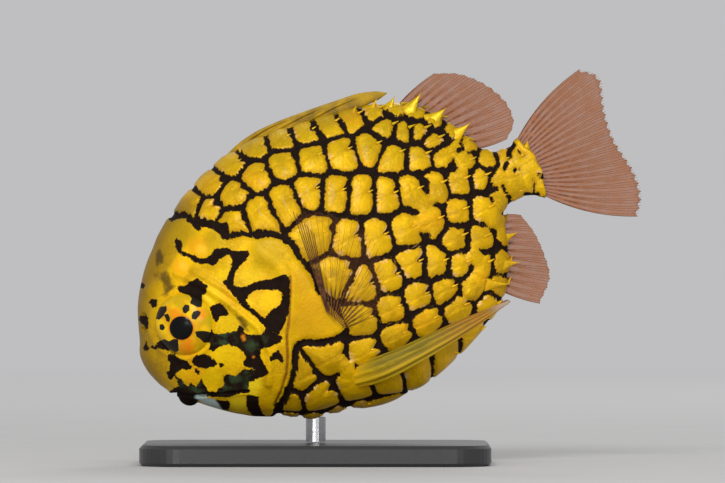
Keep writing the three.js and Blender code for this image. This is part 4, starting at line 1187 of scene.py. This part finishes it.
# the groove colour is painted shade in the spine's grooves
GROOVE_PAINTED_SHADE, BONE_ROOT, BONE_TIP = (0.11, 0.075, 0.004), (0.64, 0.38, 0.002), (0.42, 0.30, 0.22)
FOLDED_OLIVE = ((0.22, 0.13, 0.003), (0.47, 0.28, 0.006))


def pelvic_material():
    """Olive bone with orange streaks in its outer half, yellow at the root, paler at the tip, and painted
    shade in its grooves.
    """
    s = Sheet("pelvic_bone")
    along, around = s.attribute("along"), s.attribute("around")
    fibres = s.noise(6, 6, s.node("ShaderNodeCombineXYZ", {}, [along * 1.6, around * 8.0, along * 0.3]), 0.75)
    colour = s.layers(
        s.mix(fibres.ramp(0.36, 0.64), *BONE_OLIVE),
        (s.attribute("upward").ramp(-0.35, 0.35, 1, 0) * fibres.ramp(0.3, 0.6, 0.5, 0.9), BONE_LOWER),
        (along.ramp(0.45, 0.8) * fibres.ramp(0.35, 0.6) * 0.8, BONE_FLUSH),
        # painted shade: darker in the grooves
        (s.attribute("groove").ramp(0.3, 1, 0, 0.6), GROOVE_PAINTED_SHADE),
        (along.ramp(0.06, 0.26, 0.95, 0), BONE_ROOT),
        (along.ramp(0.85, 0.97), BONE_TIP))
    return s.grained(colour, fibres, (0.42, 0.6), (0.5, 0.0003), specular_ior_level=0.25)


def dorsal_material():
    s = Sheet("folded_spine")
    fibres = s.noise(240, 4)
    return s.grained(s.mix(fibres.ramp(0.3, 0.7), *FOLDED_OLIVE), fibres, (0.35, 0.5), (0.3, 0.0002),
                     specular_ior_level=0.2)


def above_back(x, lift, aside=0):
    return np.stack([x, 0 * x + aside, AXIS_Z + back_height(x) + lift], 1)


def folded_film(material):
    """The first dorsal fin's skin, laid down along the back in fine folds."""
    x = np.linspace(SPINY_DORSAL["start"], SPINY_DORSAL["end"], len(FILM_LIFT))
    return fluted_spine("spiny_dorsal_film", above_back(x, np.array(FILM_LIFT)), FILM_RADII, material,
                        ribs=26, flatten=0.5, steps=120, sides=156, depth=0.1)


def folded_spines(material):
    """Spines of the folded fin, leaning left and right in turn."""
    start, end, length = SPINY_DORSAL["start"], SPINY_DORSAL["end"], SPINY_DORSAL["length"]
    share = np.linspace(0, 1, 20)
    lines = []
    for i in range(SPINY_DORSAL["spines"]):
        x = start + 3 + i * (end - start - length - 3) / (SPINY_DORSAL["spines"] - 1)
        lean = (1 if i % 2 else -1) * (0.2 + 0.75 * np.sin(share * math.pi) ** 0.6)
        rise = -0.1 + (2.2 + 0.16 * i) * np.sin(share * math.pi / 2)
        lines.append((above_back(x + length * share, rise, lean), 0.5 * (1 - share) ** 0.6 + 0.08))
    return rods("spiny_dorsal_spines", lines, material, 10)


# Eyes

CORNEA_BULGE = 0.35
PUPIL_RIM = (PUPIL_RADIUS - 0.08, PUPIL_RADIUS + 0.04)
IRIS_GOLD = ((0.58, 0.31, 0.002), (0.86, 0.52, 0.004))
IRIS_ORANGE, IRIS_OLIVE, IRIS_GLOW = (0.74, 0.30, 0.003), (0.50, 0.42, 0.006), (0.84, 0.22, 0.004)
PUPIL_RING, IRIS_RIM = (0.70, 0.20, 0.003), (0.50, 0.36, 0.004)
SPOT_BLACK, PUPIL_BLACK = (0.012, 0.009, 0.006), (0.002, 0.002, 0.0025)


def make_eyeball(name, material, mirror):
    """A flattened ball whose front carries the iris and the raised pupil."""
    turn = turn_at(EYE["x"], EYE["z"])
    place = np.array([EYE["x"]]), np.array([turn])
    outward = body_normal(*place)[0]
    centre = body_point(*place)[0] - outward * EYE["sunk"]
    rows, columns = 90, 120
    theta = np.linspace(0.01, math.pi - 0.01, rows)
    phi = 2 * math.pi * np.arange(columns) / columns
    ring = np.sin(theta)[:, None]
    ball = np.stack([(ring * np.cos(phi)).ravel(), (ring * np.sin(phi)).ravel(),
                     np.repeat(np.cos(theta), columns)], 1)
    across = np.cross((0.0, 0.0, 1.0), outward)
    across /= np.linalg.norm(across)
    upward = np.cross(outward, across)
    points = (centre + ball[:, :1] * across * EYE["radius"] + ball[:, 1:2] * upward * EYE["radius"]
              + ball[:, 2:] * outward * EYE["depth"])
    faces = np.array(tube_faces(rows, columns))[:, [0, 3, 2, 1]].tolist()
    faces += [list(range(columns)), list(range((rows - 1) * columns, rows * columns))[::-1]]
    flat = points[:, [0, 2]]
    pupil = np.linalg.norm(flat - on_side(HEAD_VIEW, [PUPIL])[0], axis=1)
    bulge = np.sqrt(np.clip(1 - (pupil / PUPIL_RADIUS) ** 2, 0, 1)) * CORNEA_BULGE
    points = points + outward * (bulge * (ball[:, 2] > 0))[:, None]
    ink = marks_distance(flat, HEAD_VIEW, HEAD_MARKS + EYE_SPOTS)
    fields = {"pupil": pupil, "ink": ink, "glow": soft_spots(flat, HEAD_VIEW, EYE_GLOWS)}
    if mirror:
        points, faces = mirrored(points, faces)
    return make_piece(name, to_world(points), faces, material, fields)


def eye_material():
    s = Sheet("eye_iris")
    pupil = s.attribute("pupil")
    rays, patchy = s.noise(300, 4), s.noise(190, 3)
    colour = s.layers(
        s.mix(rays.ramp(0.35, 0.65), *IRIS_GOLD),
        (patchy.ramp(0.5, 0.64, 0, 0.7), IRIS_ORANGE),
        (patchy.ramp(0.3, 0.44, 0.6, 0), IRIS_OLIVE),
        (s.attribute("glow") * 0.75, IRIS_GLOW),
        (pupil.ramp(PUPIL_RADIUS, 3.5, 0.75, 0), PUPIL_RING),
        (pupil.ramp(6.0, 7.2, 0, 0.5), IRIS_RIM),
        ((s.attribute("ink") + (s.noise(520, 4) - 0.5) * 0.8).ramp(0.0, 0.13, 1, 0), SPOT_BLACK),
        (pupil.ramp(*PUPIL_RIM, 1, 0), PUPIL_BLACK))
    return s.grained(colour, rays, (0.3, 0.42), (0.08, 0.0001),
                     specular_ior_level=0.1, coat_weight=0.1, coat_roughness=0.04)


# Stand, floor, lights and camera

STAND_SPREAD = (0.2, 0.8)


def base_material():
    s = Sheet("base_satin")
    grain = s.noise(2500, 2)
    colour = s.mix(grain, (0.018, 0.018, 0.02), (0.028, 0.028, 0.03))
    return s.grained(colour, grain, (0.3, 0.42), (0.08, 0.0001), STAND_SPREAD)


def rod_material():
    s = Sheet("rod_steel")
    brushed = s.noise(1800, 2)
    colour = s.mix(brushed, (0.36, 0.36, 0.37), (0.46, 0.46, 0.47))
    return s.grained(colour, brushed, (0.22, 0.36), (0.06, 0.0001), STAND_SPREAD, metallic=1.0)


BACKDROP = (0.52, 0.52, 0.53)
FLOOR_RADIUS, FLOOR_SIDES = 12.0, 64
LIGHTS = [  # name, place, target, size, watts
    ("key", (-0.15, -1.3, 0.9), (0, 0, 0.05), 0.5, 12),
    ("front", (0.35, -1.5, 0.3), (0, 0, 0.05), 0.4, 3.5),
    ("low", (-0.35, -1.2, 0.06), (-0.03, 0, 0.03), 0.4, 3),
    ("back", (0.3, 1.1, 0.9), (0, 0, 0.06), 0.5, 5)]

# The camera shows the side view at its scale, on a plane this far in front of the midline

VIEW_SIZE = (725, 483)
CAMERA_DISTANCE, MATCHED_PLANE, SENSOR = 1.8, 0.008, 36


def floor_material():
    """Pale paper that fades into the backdrop far away."""
    s = Sheet("studio_floor")
    fibres = s.noise(40, 3)
    paper = s.mix(fibres, (0.52, 0.517, 0.51), (0.56, 0.557, 0.55))
    away = s.node("ShaderNodeVectorMath", {"operation": "LENGTH"}, [s.place()], "Value").ramp(0.25, 1.5)
    return s.finish(s.principled(base_color=s.mix(away, paper, (0, 0, 0)), roughness=0.95,
                                 specular_ior_level=0.0, emission_color=s.mix(away, (0, 0, 0), BACKDROP),
                                 emission_strength=1.0))


def make_floor():
    mesh = bmesh.new()
    bmesh.ops.create_circle(mesh, cap_ends=True, radius=FLOOR_RADIUS, segments=FLOOR_SIDES)
    data = bpy.data.meshes.new("studio_floor")
    mesh.to_mesh(data)
    mesh.free()
    data.materials.append(floor_material())
    add_object("studio_floor", data)


def light_and_camera():
    scene = bpy.context.scene
    world = bpy.data.worlds.new("studio")
    world.use_nodes = True
    background = world.node_tree.nodes["Background"]
    background.inputs["Color"].default_value = (*BACKDROP, 1)
    background.inputs["Strength"].default_value = 1
    scene.world = world
    for name, place, target, size, watts in LIGHTS:
        data = bpy.data.lights.new(name, "AREA")
        data.shape, data.size, data.energy = "DISK", size, watts
        light = add_object(name, data)
        light.location = place
        light.rotation_mode = "QUATERNION"
        light.rotation_quaternion = (Vector(target) - Vector(place)).to_track_quat("-Z", "Y")
    scene.view_settings.view_transform = "Standard"
    data = bpy.data.cameras.new("camera")
    data.sensor_width = SENSOR
    data.lens = SENSOR * (CAMERA_DISTANCE - MATCHED_PLANE) / (VIEW_SIZE[0] * VIEW_UNIT * MM)
    camera = add_object("camera", data)
    camera.location = ((FISH_OFFSET[0] + (VIEW_SIZE[0] / 2 - VIEW_LIP[0]) * VIEW_UNIT) * MM, -CAMERA_DISTANCE,
                       (FISH_OFFSET[1] + (VIEW_LIP[1] - VIEW_SIZE[1] / 2) * VIEW_UNIT) * MM)
    camera.rotation_euler = (math.pi / 2, 0, 0)
    scene.camera = camera


def dress_fin(node, fin, web, ray, mirror=False):
    settle(fin_web(node + "_web", fin, web, mirror), "fin", node)
    settle(rods(node + "_rays", fin_rays(fin, mirror), ray), "fin")


light_and_camera()
make_floor()

armour, thorn, iris = skin_material(), thorn_material(), eye_material()
ray = ray_material("fin_ray", *RAY_BROWN)
web = web_material("fin_web", 0.44, 0.7)
leading_ray = ray_material("leading_ray", *LEADING_BROWN)
pectoral_ray = ray_material("pectoral_ray", *PECTORAL_BROWN, PECTORAL_ROOT)
pectoral_web = web_material("pectoral_web", 0.01, 0.07)
pelvic, folded = pelvic_material(), dorsal_material()
settle(make_skin(armour), "plates", "head", "lower_jaw", "trunk", "tail_stalk")
settle(rim_thorns(thorn), "plates")
settle(keel_points(thorn), "plates")
for mirror, name in ((False, "left"), (True, "right")):
    settle(make_eyeball("eyeball_" + name, iris, mirror), "eye", "eye_" + name)
    fin, node = FINS["pectoral_fin"], "pectoral_fin_" + name
    dress_fin(node, fin, pectoral_web, pectoral_ray, mirror)
    settle(rods(node + "_edge", leading_rays(fin, mirror), leading_ray), "fin")
    settle(fluted_spine("pelvic_" + name, PELVIC_PATH, PELVIC_RADII, pelvic, 9, 0.72, mirror),
           "spine", "pelvic_spine_" + name)
for node in ("soft_dorsal_fin", "anal_fin", "tail_fin"):
    dress_fin(node, FINS[node], web, ray)
settle(folded_film(folded), "spine", "spiny_dorsal_fin")
settle(folded_spines(folded), "spine")

for node, material in (("stand_base", base_material()), ("stand_rod", rod_material())):
    bpy.data.objects[node].data.materials.clear()
    bpy.data.objects[node].data.materials.append(material)
